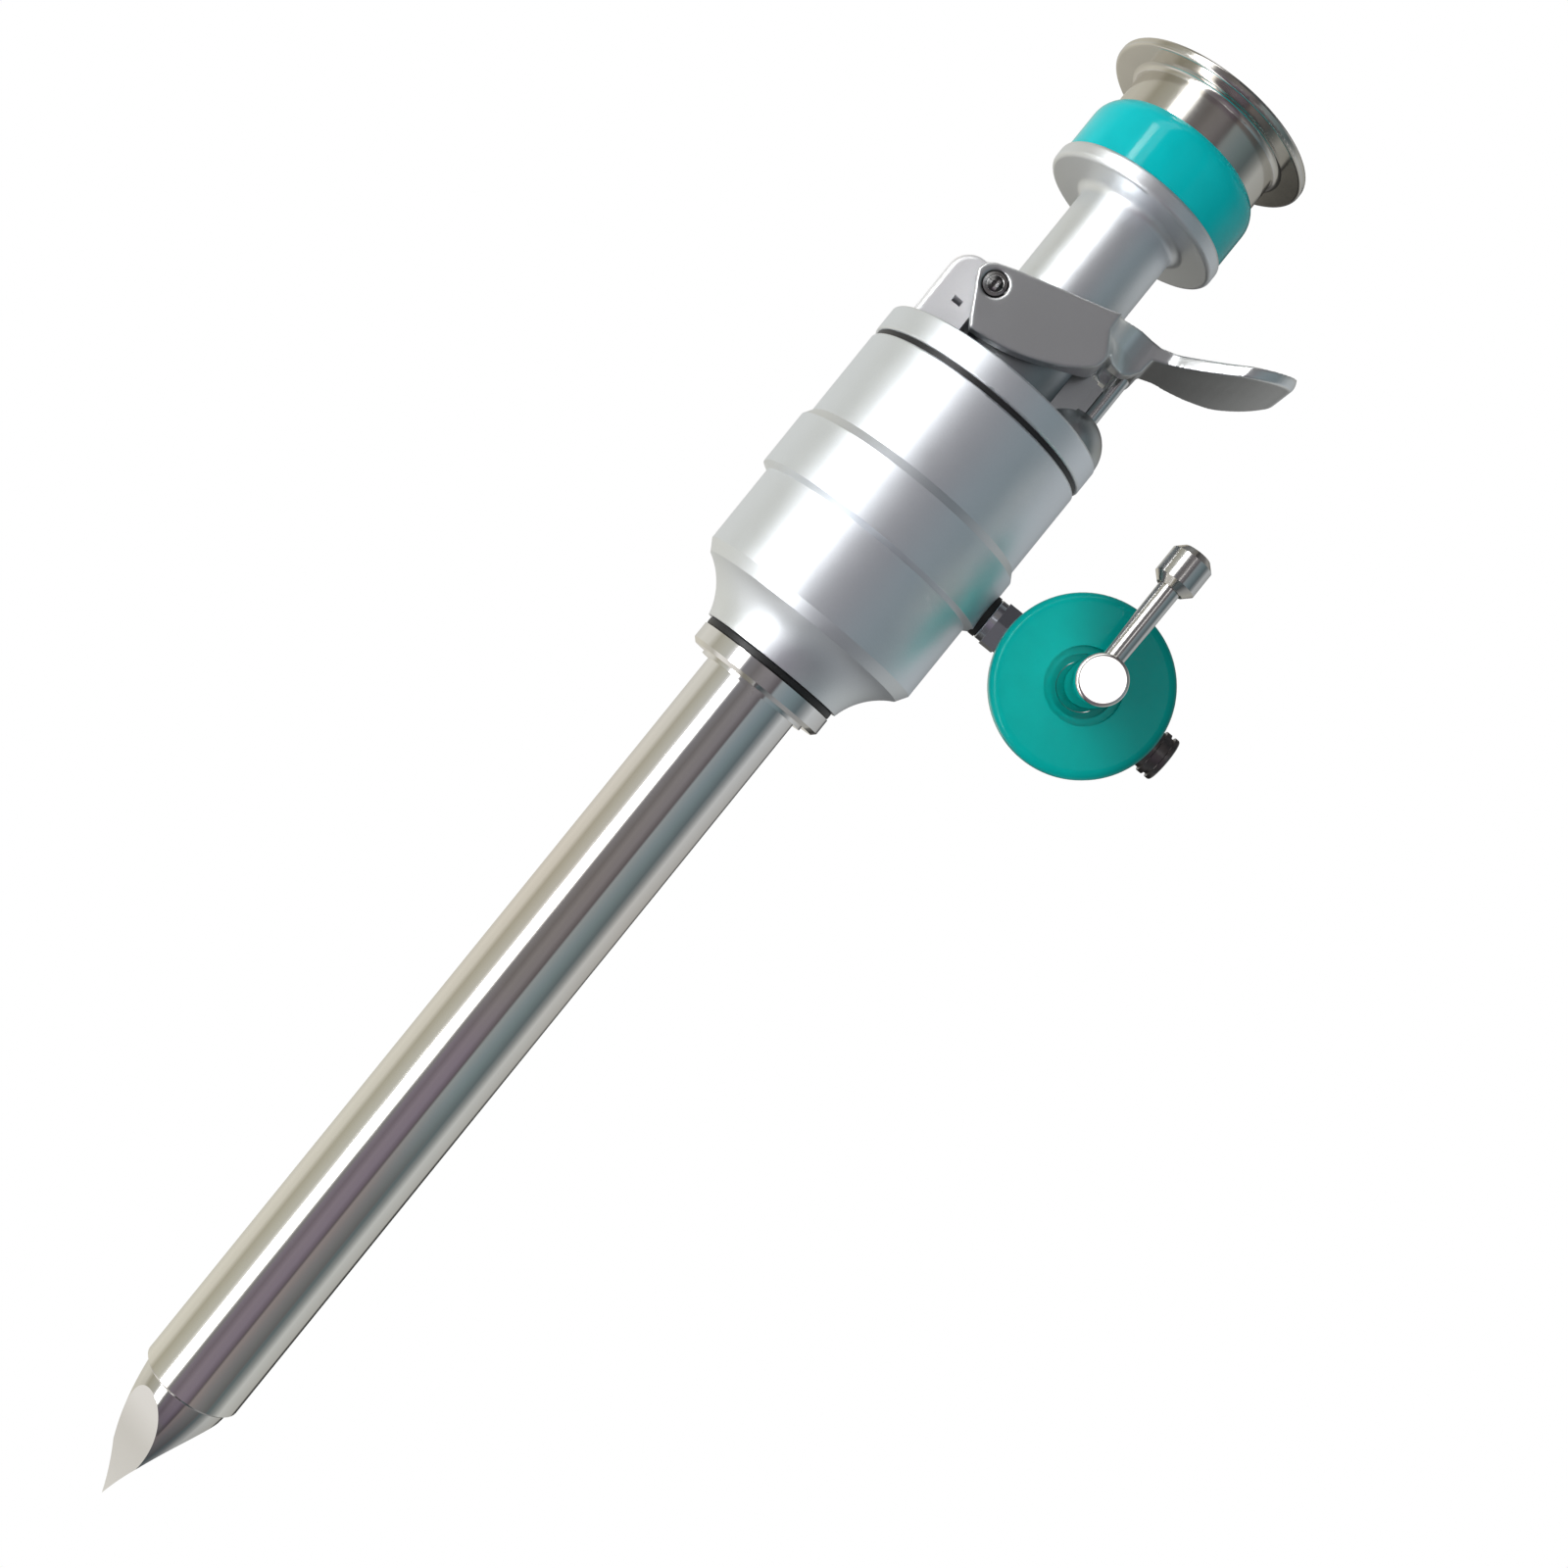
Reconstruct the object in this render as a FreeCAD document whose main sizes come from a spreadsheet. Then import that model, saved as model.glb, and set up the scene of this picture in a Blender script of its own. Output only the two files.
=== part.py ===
import FreeCAD, Part
import math
import os
import re
import Sketcher

# A reusable trocar for keyhole surgery: a steel cannula with a valve housing on top, a pointed
# obturator pushed through both, a thumb lever that opens the flap valve and a gas stopcock.
# Z runs along the cannula and up to the head, X points to the stopcock and the lever's paddle.
# The origin is on the cannula's axis, where the bare tube leaves the collar.

SIZES = {
    # Gaps between pieces
    "running_gap": 0.06,
    "solder_gap": 0.03,
    "rest_gap": 0.2,
    # Cannula tube
    "cannula_radius": 5.75,
    "bore_radius": 5.25,
    "cannula_length": 94.3,
    "cannula_chamfer": 0.3,
    "socket_radius": 5.5,
    # Collar under the housing, and its seal
    "collar_radius": 8.3,
    "collar_height": 2.7,
    "collar_step_radius": 6.6,
    "collar_step_height": 0.4,
    "collar_chamfer": 0.45,
    "collar_seal_radius": 8.2,
    "collar_seal_height": 0.9,
    # Housing body
    "bell_radius": 8.6,
    "bell_height": 5.2,
    "bell_rim_radius": 12.6,
    "bell_curve": 8.0,
    "lower_radius": 13.4,
    "lower_height": 10.5,
    "lower_bevel": 1.3,
    "band_radius": 14.25,
    "band_height": 7.8,
    "band_foot": 0.5,
    "band_slope": 1.0,
    "upper_radius": 13.65,
    "upper_height": 10.2,
    "edge_round": 0.25,
    "chamber_radius": 12.0,
    "chamber_round": 1.5,
    "socket_depth": 6.0,
    "floor_thickness": 0.9,
    "floor_funnel": 0.6,
    # Cap, its seal and its threaded spigot
    "cap_seal_radius": 13.4,
    "cap_seal_height": 0.6,
    "cap_radius": 13.7,
    "cap_height": 3.0,
    "spigot_radius": 11.9,
    "spigot_length": 3.9,
    "spigot_relief": 0.5,
    "relief_height": 0.9,
    # Neck with its spool flange
    "neck_radius": 6.0,
    "neck_length": 23.0,
    "neck_root_round": 1.0,
    "spool_radius": 10.55,
    "spool_height": 1.9,
    "spool_round": 0.5,
    "spool_spigot_radius": 8.5,
    "spool_spigot_height": 3.2,
    "bead_width": 0.35,
    "bead_height": 0.9,
    # Push-on seal cap
    "seal_cap_radius": 10.2,
    "seal_cap_height": 6.7,
    "seal_cap_shoulder": 2.2,
    "seal_cap_bow": 2.8,
    "seal_web": 1.6,
    "lip_radius": 5.2,
    "lip_bevel": 0.9,
    # Obturator
    "shaft_radius": 5.15,
    "head_radius": 9.05,
    "head_height": 4.4,
    "head_spigot_radius": 3.4,
    "head_spigot_length": 4.5,
    "flange_radius": 12.2,
    "flange_thickness": 1.05,
    "flange_round": 0.35,
    "head_fillet": 0.7,
    "tip_reach": 15.2,
    "tip_point_length": 14.0,
    "tip_shoulder": 4.5,
    "tip_spigot_radius": 3.6,
    "tip_spigot_length": 6.0,
    "tip_hollow": 46.0,
    "tip_ogive": 36.0,
    "tip_ogive_length": 15.0,
    "facet_count": 3,
    # Valve seat and flap
    "seat_radius": 8.2,
    "seat_height": 1.4,
    "seat_lip": 0.5,
    "flap_radius": 6.0,
    "flap_thickness": 0.8,
    "flap_arm_width": 4.8,
    "flap_open_angle": 71.5,
    "axle_to_wall": 1.05,
    "flap_axle_radius": 0.45,
    "knuckle_radius": 0.75,
    "knuckle_slot": 2.0,
    "knuckle_outer": 3.4,
    "flap_spring_coil": 0.63,
    "flap_spring_wire": 0.1,
    "flap_spring_width": 0.6,
    "flap_spring_pitch": 0.22,
    "ear_inner": 5.2,
    "ear_outer": 6.8,
    "ear_half_width": 0.8,
    "bracket_to_seat": 0.4,
    "bracket_clearance": 0.2,
    "bracket_thickness": 0.6,
    # Push rod and its guide on the cap
    "rod_to_axle": 1.2,
    "rod_radius": 0.65,
    "rod_head_radius": 0.95,
    "rod_collar_radius": 1.45,
    "rod_collar_height": 0.6,
    "rod_well_radius": 1.75,
    "rod_well_depth": 3.3,
    "rod_spring_coil": 1.1,
    "rod_spring_wire": 0.18,
    "rod_spring_turns": 5.0,
    "dome_to_rod": 0.55,
    "dome_radius": 4.4,
    "dome_well": 3.1,
    "post_outer": 8.1,
    "post_width": 5.0,
    "post_height": 7.2,
    "post_clearance": 0.6,
    "nose_width": 3.2,
    "nose_to_rod": 0.75,
    # Hinge block and the screws the lever turns on
    "block_outer": 11.6,
    "block_width": 12.4,
    "block_height": 8.8,
    "block_round": 2.6,
    "block_edge": 0.7,
    "block_foot_inner": 6.5,
    "block_ear_inner": 4.9,
    "block_ear_height": 5.1,
    "block_ear_slope": 1.8,
    "notch_offset": 8.5,
    "notch_level": 3.6,
    "notch_length": 1.1,
    "notch_height": 0.7,
    "pivot_offset": 6.4,
    "pivot_level": 6.8,
    "pivot_radius": 0.9,
    "screw_thread_radius": 0.7,
    "screw_thread_end": 3.3,
    "screw_shoulder_start": 4.9,
    "screw_head_radius": 1.28,
    "screw_head_height": 0.5,
    "screw_slot_width": 0.35,
    "screw_slot_depth": 0.25,
    "spring_recess_radius": 1.6,
    "spring_recess_depth": 1.1,
    "lever_spring_coil": 1.25,
    "lever_spring_wire": 0.15,
    "lever_spring_turns": 2.5,
    # Thumb lever
    "yoke_width": 17.2,
    "yoke_gap": 13.2,
    "yoke_gap_round": 5.5,
    "yoke_clearance": 0.85,
    "yoke_rear": 8.7,
    "yoke_front": 7.2,
    "yoke_rise": 2.1,
    "yoke_drop": 5.0,
    "yoke_bow": 21.0,
    "yoke_nose": 0.6,
    "yoke_rear_length": 2.7,
    "yoke_rear_height": 1.2,
    "yoke_foot_start": 0.1,
    "yoke_foot_end": 0.8,
    "cheek_end": 1.8,
    "cheek_end_drop": 1.9,
    "cheek_front_drop": 2.6,
    "cheek_toe_length": 1.1,
    "cheek_toe_height": 1.7,
    "waist_width": 9.0,
    "waist_round": 3.0,
    "waist_front": 10.9,
    "waist_level": 10.1,
    "waist_height": 4.0,
    "waist_bevel": 0.7,
    "waist_start": 0.6,
    "waist_nose": 2.2,
    "head_recess_depth": 0.6,
    "paddle_reach": 24.6,
    "paddle_width": 17.0,
    "paddle_end_run": 4.6,
    "paddle_thickness": 1.5,
    "paddle_rise": 5.6,
    "paddle_bow": 60.0,
    "paddle_edge": 0.6,
    "paddle_edge_bow": 0.77,
    "paddle_flat": 3.0,
    "paddle_corner": 3.4,
    "paddle_round": 5.5,
    # Stopcock
    "port_level": 21.93,
    "port_face": 13.95,
    "port_thread_radius": 2.1,
    "stem_washer_radius": 2.5,
    "stem_washer_height": 0.7,
    "stem_radius": 2.45,
    "hex_width": 5.0,
    "hex_start": 15.6,
    "hex_length": 1.7,
    "plug_offset": 26.63,
    "barrel_radius": 4.3,
    "barrel_front": 2.6,
    "barrel_back": 5.0,
    "gas_bore_radius": 1.25,
    "plug_front_radius": 2.7,
    "plug_back_radius": 2.35,
    "plug_stud_radius": 1.1,
    "plug_stud_length": 3.2,
    "plug_washer_radius": 3.4,
    "plug_washer_thickness": 0.4,
    "plug_nut_width": 5.0,
    "plug_nut_height": 1.9,
    "hub_collar_radius": 3.05,
    "hub_radius": 2.65,
    "hub_collar_length": 1.2,
    "hub_length": 15.1,
    "hub_round": 0.35,
    "disc_radius": 9.75,
    "disc_gap": 0.5,
    "disc_thickness": 2.9,
    "disc_round": 1.0,
    "disc_recess_radius": 4.2,
    "disc_recess_depth": 0.9,
    "disc_step_radius": 3.4,
    "disc_lip": 0.3,
    "handle_depth": 12.0,
    "handle_root_radius": 1.17,
    "handle_end_radius": 1.27,
    "handle_sink": 1.2,
    "knob_radius": 2.35,
    "knob_length": 4.5,
    "knob_chamfer": 0.8,
    "knob_reach": 16.5,
    "knob_sink": 3.2,
    "luer_end": 38.8,
    "luer_bore_radius": 1.8,
    "luer_bore_length": 5.5,
    "luer_body_radius": 2.3,
    "luer_flange_radius": 2.6,
    "luer_flange_width": 0.6,
    "luer_groove_width": 0.5,
    "luer_length": 7.9,
    "luer_socket_length": 2.0,
    "luer_tube_radius": 1.5,
}

doc = FreeCAD.newDocument("trocar")
sheet = doc.addObject("Spreadsheet::Sheet", "dims")
for row, (alias, size) in enumerate(SIZES.items(), 1):
    sheet.set(f"A{row}", alias)
    sheet.set(f"B{row}", str(size))
    sheet.setAlias(f"B{row}", alias)
doc.recompute()

# Levels along the axis, each as a formula of the sizes above
collar_top = "collar_height"
housing_bottom = "(collar_height + collar_seal_height)"
bell_top = f"({housing_bottom} + bell_height)"
band_bottom = f"({bell_top} + lower_height)"
band_top = f"({band_bottom} + band_height)"
housing_top = f"({band_top} + upper_height)"
socket_top = f"({housing_bottom} + socket_depth)"
chamber_floor = f"({socket_top} + floor_thickness)"
cap_bottom = f"({housing_top} + cap_seal_height)"
cap_top = f"({cap_bottom} + cap_height)"
spigot_bottom = f"({cap_bottom} - spigot_length)"
seat_bottom = f"({spigot_bottom} - seat_height)"
spool_bottom = f"({cap_top} + neck_length)"
spool_top = f"({spool_bottom} + spool_height)"
seal_cap_top = f"({spool_top} + seal_cap_height)"
web_bottom = f"({spool_top} + spool_spigot_height + solder_gap)"
head_bottom = f"({web_bottom} + seal_web + running_gap)"
flange_bottom = f"({seal_cap_top} + head_height)"
head_top = f"({flange_bottom} + flange_thickness)"
tip_top = "(0 - cannula_length - tip_reach + tip_point_length + tip_shoulder)"
tip_end = "(0 - cannula_length - tip_reach)"
pivot_height = f"({cap_top} + pivot_level)"
waist_bottom = f"({cap_top} + waist_level)"
waist_top = f"({waist_bottom} + waist_height)"
rod_top = f"({waist_bottom} - rest_gap)"
rod_bottom = f"({seat_bottom} + rest_gap)"
rod_well_floor = f"({cap_top} - rod_well_depth)"
dome_well_top = f"({cap_top} + dome_well)"
rod_collar_top = f"({dome_well_top} - running_gap)"
rod_hole = "(rod_radius + running_gap)"
rod_head_hole = "(rod_head_radius + running_gap)"

# Places across the axis, from the chamber's wall inwards
bracket_outer = "(chamber_radius - bracket_clearance)"
bracket_inner = "(seat_radius + bracket_to_seat)"
axle_offset = "(chamber_radius - axle_to_wall)"
rod_offset = f"({axle_offset} - rod_to_axle)"
dome_offset = f"({rod_offset} - dome_to_rod)"


def formula(text):
    """Write a formula with each size named through the sheet."""
    return re.sub(r"[a-z][a-z_]+", lambda word: "dims." + word[0] if word[0] in SIZES else word[0], text)


def number(text):
    """Work a formula out with the sheet's present values."""
    result = sheet.evalExpression(text)
    return float(getattr(result, "Value", result))


def set_down(item, place, turn):
    """Turn a piece about an axis and move it to a place given by formulas."""
    if turn:
        axis, angle = turn
        spun = FreeCAD.Rotation(FreeCAD.Vector(*axis), angle)
        item.Placement = FreeCAD.Placement(FreeCAD.Vector(), spun)
    for direction, text in (place or {}).items():
        item.setExpression(f"Placement.Base.{direction}", formula(text))


def new_body(name, place=None, turn=None):
    """Start a body, moved to a place given by formulas and turned about an axis."""
    body = doc.addObject("PartDesign::Body", name)
    body.Label = name
    set_down(body, place, turn)
    return body


def new_sketch(body, role, offset="0"):
    """Start a sketch on one of the body's own origin planes, or parallel to it."""
    sketch = body.newObject("Sketcher::SketchObject", f"{body.Name}_sketch")
    plane = [item for item in body.Origin.OriginFeatures if item.Role == role][0]
    sketch.AttachmentSupport = [(plane, "")]
    sketch.MapMode = "FlatFace"
    if offset != "0":
        sketch.setExpression("AttachmentOffset.Base.z", formula(offset))
    return sketch


def fix(sketch, kind, geometry, point, text):
    """Hold a point's distance from the sketch's origin to a formula."""
    index = sketch.addConstraint(Sketcher.Constraint(kind, -1, 1, geometry, point, number(text)))
    sketch.setExpression(f"Constraints[{index}]", formula(text))


def hold_radius(sketch, geometry, text):
    """Hold an arc's or a circle's radius to a formula."""
    index = sketch.addConstraint(Sketcher.Constraint("Radius", geometry, number(text)))
    sketch.setExpression(f"Constraints[{index}]", formula(text))


def add_circle(sketch, across, up, radius):
    """Add a circle whose centre and radius are formulas."""
    centre = FreeCAD.Vector(number(across), number(up), 0)
    index = sketch.addGeometry(Part.Circle(centre, FreeCAD.Vector(0, 0, 1), number(radius)))
    hold_radius(sketch, index, radius)
    fix(sketch, "DistanceX", index, 3, across)
    fix(sketch, "DistanceY", index, 3, up)


def bow_middle(start, end, radius):
    """The middle of an arc that bulges to the left of its way for a positive radius."""
    chord = end - start
    half = chord.Length / 2
    left = FreeCAD.Vector(-chord.y, chord.x, 0).normalize()
    sag = abs(radius) - math.sqrt(radius * radius - half * half)
    return (start + end) / 2 + left * math.copysign(sag, radius)


def add_arc(sketch, start, middle, end, radius):
    """Add an arc through three points, and say which of its ends come first and last on the way."""
    circle = Part.Arc(start, middle, end).toShape().Curve
    spoke_in, spoke_out = start - circle.Center, end - circle.Center
    forward = (middle - start).cross(end - middle).z > 0
    first, last = (spoke_in, spoke_out) if forward else (spoke_out, spoke_in)
    first_angle, last_angle = math.atan2(first.y, first.x), math.atan2(last.y, last.x)
    if last_angle < first_angle:
        last_angle += 2 * math.pi
    whole = Part.Circle(circle.Center, FreeCAD.Vector(0, 0, 1), circle.Radius)
    index = sketch.addGeometry(Part.ArcOfCircle(whole, first_angle, last_angle))
    hold_radius(sketch, index, radius)
    return index, ((1, 2) if forward else (2, 1))


def add_outline(sketch, corners):
    """Add a closed outline. Each corner is (across, up), with a third formula where it is rounded,
    or with "bow" and a formula where the stretch to the next corner is an arc of that radius."""
    points = [FreeCAD.Vector(number(corner[0]), number(corner[1]), 0) for corner in corners]
    count = len(corners)
    leave, arrive, turn_middle = list(points), list(points), {}
    for i, corner in enumerate(corners):
        if len(corner) == 3:
            radius = number(corner[2])
            back = (points[i - 1] - points[i]).normalize()
            ahead = (points[(i + 1) % count] - points[i]).normalize()
            half = back.getAngle(ahead) / 2
            arrive[i] = points[i] + back * (radius / math.tan(half))
            leave[i] = points[i] + ahead * (radius / math.tan(half))
            turn_middle[i] = points[i] + (back + ahead).normalize() * (radius / math.sin(half) - radius)
    runs = []
    for i, corner in enumerate(corners):
        start, end = leave[i], arrive[(i + 1) % count]
        if len(corner) == 4:
            middle = bow_middle(start, end, number(corner[3]))
            runs.append(add_arc(sketch, start, middle, end, f"abs({corner[3]})"))
        else:
            runs.append((sketch.addGeometry(Part.LineSegment(start, end)), (1, 2)))
    for i, corner in enumerate(corners):
        before, (_, before_end) = runs[i - 1]
        after, (after_start, _) = runs[i]
        if i in turn_middle:
            turn, (first, last) = add_arc(sketch, arrive[i], turn_middle[i], leave[i], corner[2])
            sketch.addConstraint(Sketcher.Constraint("Tangent", before, before_end, turn, first))
            sketch.addConstraint(Sketcher.Constraint("Tangent", turn, last, after, after_start))
            tip = sketch.addGeometry(Part.Point(points[i]), True)
            sketch.addConstraint(Sketcher.Constraint("PointOnObject", tip, 1, before))
            sketch.addConstraint(Sketcher.Constraint("PointOnObject", tip, 1, after))
            fix(sketch, "DistanceX", tip, 1, corner[0])
            fix(sketch, "DistanceY", tip, 1, corner[1])
        else:
            sketch.addConstraint(Sketcher.Constraint("Coincident", before, before_end, after, after_start))
            fix(sketch, "DistanceX", after, after_start, corner[0])
            fix(sketch, "DistanceY", after, after_start, corner[1])


def feature(body, kind, sketch, reverse=False):
    """Add a sketch-based feature to a body."""
    made = body.newObject(f"PartDesign::{kind}", f"{body.Name}_{kind.lower()}")
    made.Profile = sketch
    made.Reversed = reverse
    return made


def turned(name, corners, place=None, turn=None):
    """A body turned on a lathe: the outline's across is the radius, its up is the axis."""
    body = new_body(name, place, turn)
    sketch = new_sketch(body, "XZ_Plane")
    add_outline(sketch, corners)
    spin = feature(body, "Revolution", sketch)
    spin.ReferenceAxis = (sketch, ["V_Axis"])
    spin.Angle = 360
    doc.recompute()
    return body


def ring(inner, outer, bottom, top, soft=None):
    """The outline of a plain ring, its outer corners rounded if asked."""
    outer_corners = [(outer, bottom, soft), (outer, top, soft)] if soft else [(outer, bottom), (outer, top)]
    return [(inner, bottom)] + outer_corners + [(inner, top)]


def slab(body, role, corners, width, offset="0"):
    """Pad an outline to both sides of its plane."""
    sketch = new_sketch(body, role, offset)
    add_outline(sketch, corners)
    pad = feature(body, "Pad", sketch)
    pad.SideType = "Symmetric"
    pad.setExpression("Length", formula(width))
    doc.recompute()
    return pad


def cut(body, sketch, depth=None, reverse=False, both=False):
    """Pocket a sketch to a depth, centred on it if asked, or right through. It has to cut something."""
    before = body.Shape.Volume
    pocket = feature(body, "Pocket", sketch, reverse)
    if depth:
        pocket.setExpression("Length", formula(depth))
    else:
        pocket.Length = 400
    if both or not depth:
        pocket.SideType = "Symmetric"
    doc.recompute()
    if not body.Shape.Volume < before:
        raise ValueError(f"{pocket.Name} cuts nothing")
    return pocket


def drill(body, role, across, up, radius, offset="0", depth=None, reverse=False):
    """Cut a round hole."""
    sketch = new_sketch(body, role, offset)
    add_circle(sketch, across, up, radius)
    return cut(body, sketch, depth, reverse)


def soften(body, kind, radius, choose):
    """Fillet or chamfer the edges of a body that a test picks."""
    base = body.Tip
    names = [f"Edge{i}" for i, edge in enumerate(body.Shape.Edges, 1) if choose(edge)]
    made = body.newObject(f"PartDesign::{kind}", f"{body.Name}_{kind.lower()}")
    made.Base = (base, names)
    made.setExpression("Radius" if kind == "Fillet" else "Size", formula(radius))
    doc.recompute()
    return made


def primitive(kind, name, sizes, place=None, turn=None):
    """A plain solid whose sizes and place are formulas."""
    solid = doc.addObject(f"Part::{kind}", name)
    for item, text in sizes.items():
        solid.setExpression(item, formula(text))
    set_down(solid, place, turn)
    return solid


def join(kind, name, base, tool):
    """Cut, fuse or share two solids."""
    result = doc.addObject(f"Part::{kind}", name)
    result.Base = base
    result.Tool = tool
    result.Label = name
    doc.recompute()
    return result


def group(name, pieces):
    """Like pieces that share a node."""
    result = doc.addObject("Part::Compound", name)
    result.Links = pieces
    result.Label = name
    doc.recompute()
    return result


def other_side(piece):
    """The same piece on the far side of the middle plane."""
    mirror = doc.addObject("Part::Mirroring", f"{piece.Name}_far")
    mirror.Source = piece
    mirror.Normal = (0, 1, 0)
    return mirror


def coil(name, radius, wire, pitch, height, place, turn=None):
    """A round-wire coil spring that starts at its place and runs up its own axis."""
    path = doc.addObject("Part::Helix", f"{name}_path")
    for item, text in (("Radius", radius), ("Pitch", pitch), ("Height", height)):
        path.setExpression(item, formula(text))
    section = doc.addObject("Part::Circle", f"{name}_section")
    section.setExpression("Radius", formula(wire))
    section.Placement = FreeCAD.Placement(FreeCAD.Vector(number(radius), 0, 0),
                                          FreeCAD.Rotation(FreeCAD.Vector(1, 0, 0), 90))
    section.setExpression("Placement.Base.x", formula(radius))
    sweep = doc.addObject("Part::Sweep", name)
    sweep.Sections = [section]
    sweep.Spine = (path, [])
    sweep.Solid = True
    sweep.Frenet = True
    set_down(sweep, place, turn)
    doc.recompute()
    return sweep


TOWARDS_VIEWER = ((1, 0, 0), 90)
ALONG_X = ((0, 1, 0), 90)

parts = []

# Cannula: a thin steel tube whose top end is turned down and soldered into the housing.
parts.append(turned("cannula_tube", [
    ("bore_radius", "0 - cannula_length"),
    ("cannula_radius - cannula_chamfer", "0 - cannula_length"),
    ("cannula_radius", "cannula_chamfer - cannula_length"),
    ("cannula_radius", "0"),
    ("socket_radius", "0"),
    ("socket_radius", socket_top),
    ("bore_radius", socket_top),
]))

# Collar: a polished ring that covers the joint, with a small step where the bare tube starts.
parts.append(turned("collar_ring", [
    ("socket_radius + solder_gap", "0"),
    ("collar_step_radius", "0"),
    ("collar_step_radius", "collar_step_height"),
    ("collar_radius - collar_chamfer", "collar_step_height"),
    ("collar_radius", "collar_step_height + collar_chamfer"),
    ("collar_radius", collar_top),
    ("socket_radius + solder_gap", collar_top),
]))
parts.append(turned("collar_seal", ring("socket_radius + solder_gap", "collar_seal_radius", collar_top,
                                        housing_bottom, "edge_round")))

# Housing body: a turned shell that flares from the collar to the valve chamber.
housing = turned("housing_body", [
    ("socket_radius + solder_gap", housing_bottom),
    ("bell_radius", housing_bottom, "bow", "bell_curve"),
    ("bell_rim_radius", bell_top),
    ("lower_radius", f"{bell_top} + lower_bevel"),
    ("lower_radius", band_bottom),
    ("band_radius", f"{band_bottom} + band_foot"),
    ("band_radius", f"{band_top} - band_slope"),
    ("upper_radius", band_top),
    ("upper_radius", housing_top, "edge_round"),
    ("chamber_radius", housing_top),
    ("chamber_radius", chamber_floor, "chamber_round"),
    ("bore_radius + floor_funnel", chamber_floor),
    ("bore_radius", f"{chamber_floor} - floor_funnel"),
    ("bore_radius", socket_top),
    ("socket_radius + solder_gap", socket_top),
])
drill(housing, "YZ_Plane", "0", "port_level", "port_thread_radius + solder_gap", depth="band_radius + 1",
      reverse=True)
drill(housing, "YZ_Plane", "0", "port_level", "stem_washer_radius + rest_gap", "port_face",
      "band_radius", reverse=True)
parts.append(housing)

# Cap: screws into the chamber's top and carries the neck, the hinge block and the rod guide.
cap_seal_ring = ring("spigot_radius + running_gap", "cap_seal_radius", housing_top, cap_bottom)
parts.append(turned("cap_seal", cap_seal_ring))
cap = turned("housing_cap", [
    ("neck_radius + solder_gap", spigot_bottom),
    ("spigot_radius", spigot_bottom),
    ("spigot_radius", f"{cap_bottom} - relief_height"),
    ("spigot_radius - spigot_relief", f"{cap_bottom} - relief_height"),
    ("spigot_radius - spigot_relief", cap_bottom),
    ("cap_radius", cap_bottom, "edge_round"),
    ("cap_radius", cap_top, "edge_round"),
    ("neck_radius + solder_gap", cap_top),
])
drill(cap, "XY_Plane", rod_offset, "0", rod_hole)
drill(cap, "XY_Plane", rod_offset, "0", "rod_well_radius", cap_top, "rod_well_depth")
parts.append(cap)

# Neck: a tube with a spool flange, and above it the beaded spigot that the seal cap grips.
parts.append(turned("neck_spool", [
    ("bore_radius", spigot_bottom),
    ("neck_radius", spigot_bottom),
    ("neck_radius", spool_bottom, "neck_root_round"),
    ("spool_radius", spool_bottom, "spool_round"),
    ("spool_radius", spool_top, "spool_round"),
    ("spool_spigot_radius", spool_top),
    ("spool_spigot_radius", f"{spool_top} + spool_spigot_height - bead_height"),
    ("spool_spigot_radius + bead_width", f"{spool_top} + spool_spigot_height - bead_height / 2"),
    ("spool_spigot_radius", f"{spool_top} + spool_spigot_height"),
    ("bore_radius", f"{spool_top} + spool_spigot_height"),
]))

# Seal cap: a soft ring pushed over the spigot, with a bevelled lip round the shaft.
parts.append(turned("seal_cap", [
    ("spool_spigot_radius + solder_gap", spool_top),
    ("seal_cap_radius", spool_top),
    ("seal_cap_radius", f"{seal_cap_top} - seal_cap_shoulder", "bow", "0 - seal_cap_bow"),
    ("head_radius + running_gap", seal_cap_top),
    ("head_radius + running_gap", f"{web_bottom} + seal_web"),
    ("lip_radius + lip_bevel", f"{web_bottom} + seal_web"),
    ("lip_radius", f"{web_bottom} + seal_web - lip_bevel"),
    ("lip_radius", web_bottom),
    ("spool_spigot_radius + solder_gap", web_bottom),
    ("spool_spigot_radius + solder_gap", f"{web_bottom} - solder_gap"),
    ("spool_spigot_radius + solder_gap + bead_width",
     f"{spool_top} + spool_spigot_height - bead_height / 2"),
    ("spool_spigot_radius + solder_gap", f"{spool_top} + spool_spigot_height - bead_height"),
]))

# Valve seat: a soft ring under the cap that the flap closes against.
parts.append(turned("valve_seat", [
    ("bore_radius", seat_bottom),
    ("bore_radius + seat_lip", seat_bottom),
    ("bore_radius + 2 * seat_lip", f"{seat_bottom} + seat_lip"),
    ("seat_radius", f"{seat_bottom} + seat_lip"),
    ("seat_radius", spigot_bottom),
    ("bore_radius", spigot_bottom),
]))

# Hinge block: stands on the cap beside the neck, and carries the lever's two screws.
block = new_body("hinge_block")
slab(block, "XZ_Plane", [
    ("0 - block_outer", cap_top),
    ("0 - block_outer", f"{cap_top} + block_height", "block_round"),
    ("0 - block_ear_inner", f"{cap_top} + block_height"),
    ("0 - block_ear_inner", f"{cap_top} + block_ear_height"),
    ("0 - block_foot_inner", f"{cap_top} + block_ear_height - block_ear_slope"),
    ("0 - block_foot_inner", cap_top),
], "block_width")
soften(block, "Fillet", "block_edge", lambda edge: abs(edge.BoundBox.XMax + number("block_outer")) < 1e-3
       and edge.BoundBox.ZLength > edge.BoundBox.YLength)
drill(block, "XY_Plane", "0", "0", "neck_radius + solder_gap")
drill(block, "XZ_Plane", "0 - pivot_offset", pivot_height, "screw_thread_radius + solder_gap")
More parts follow.
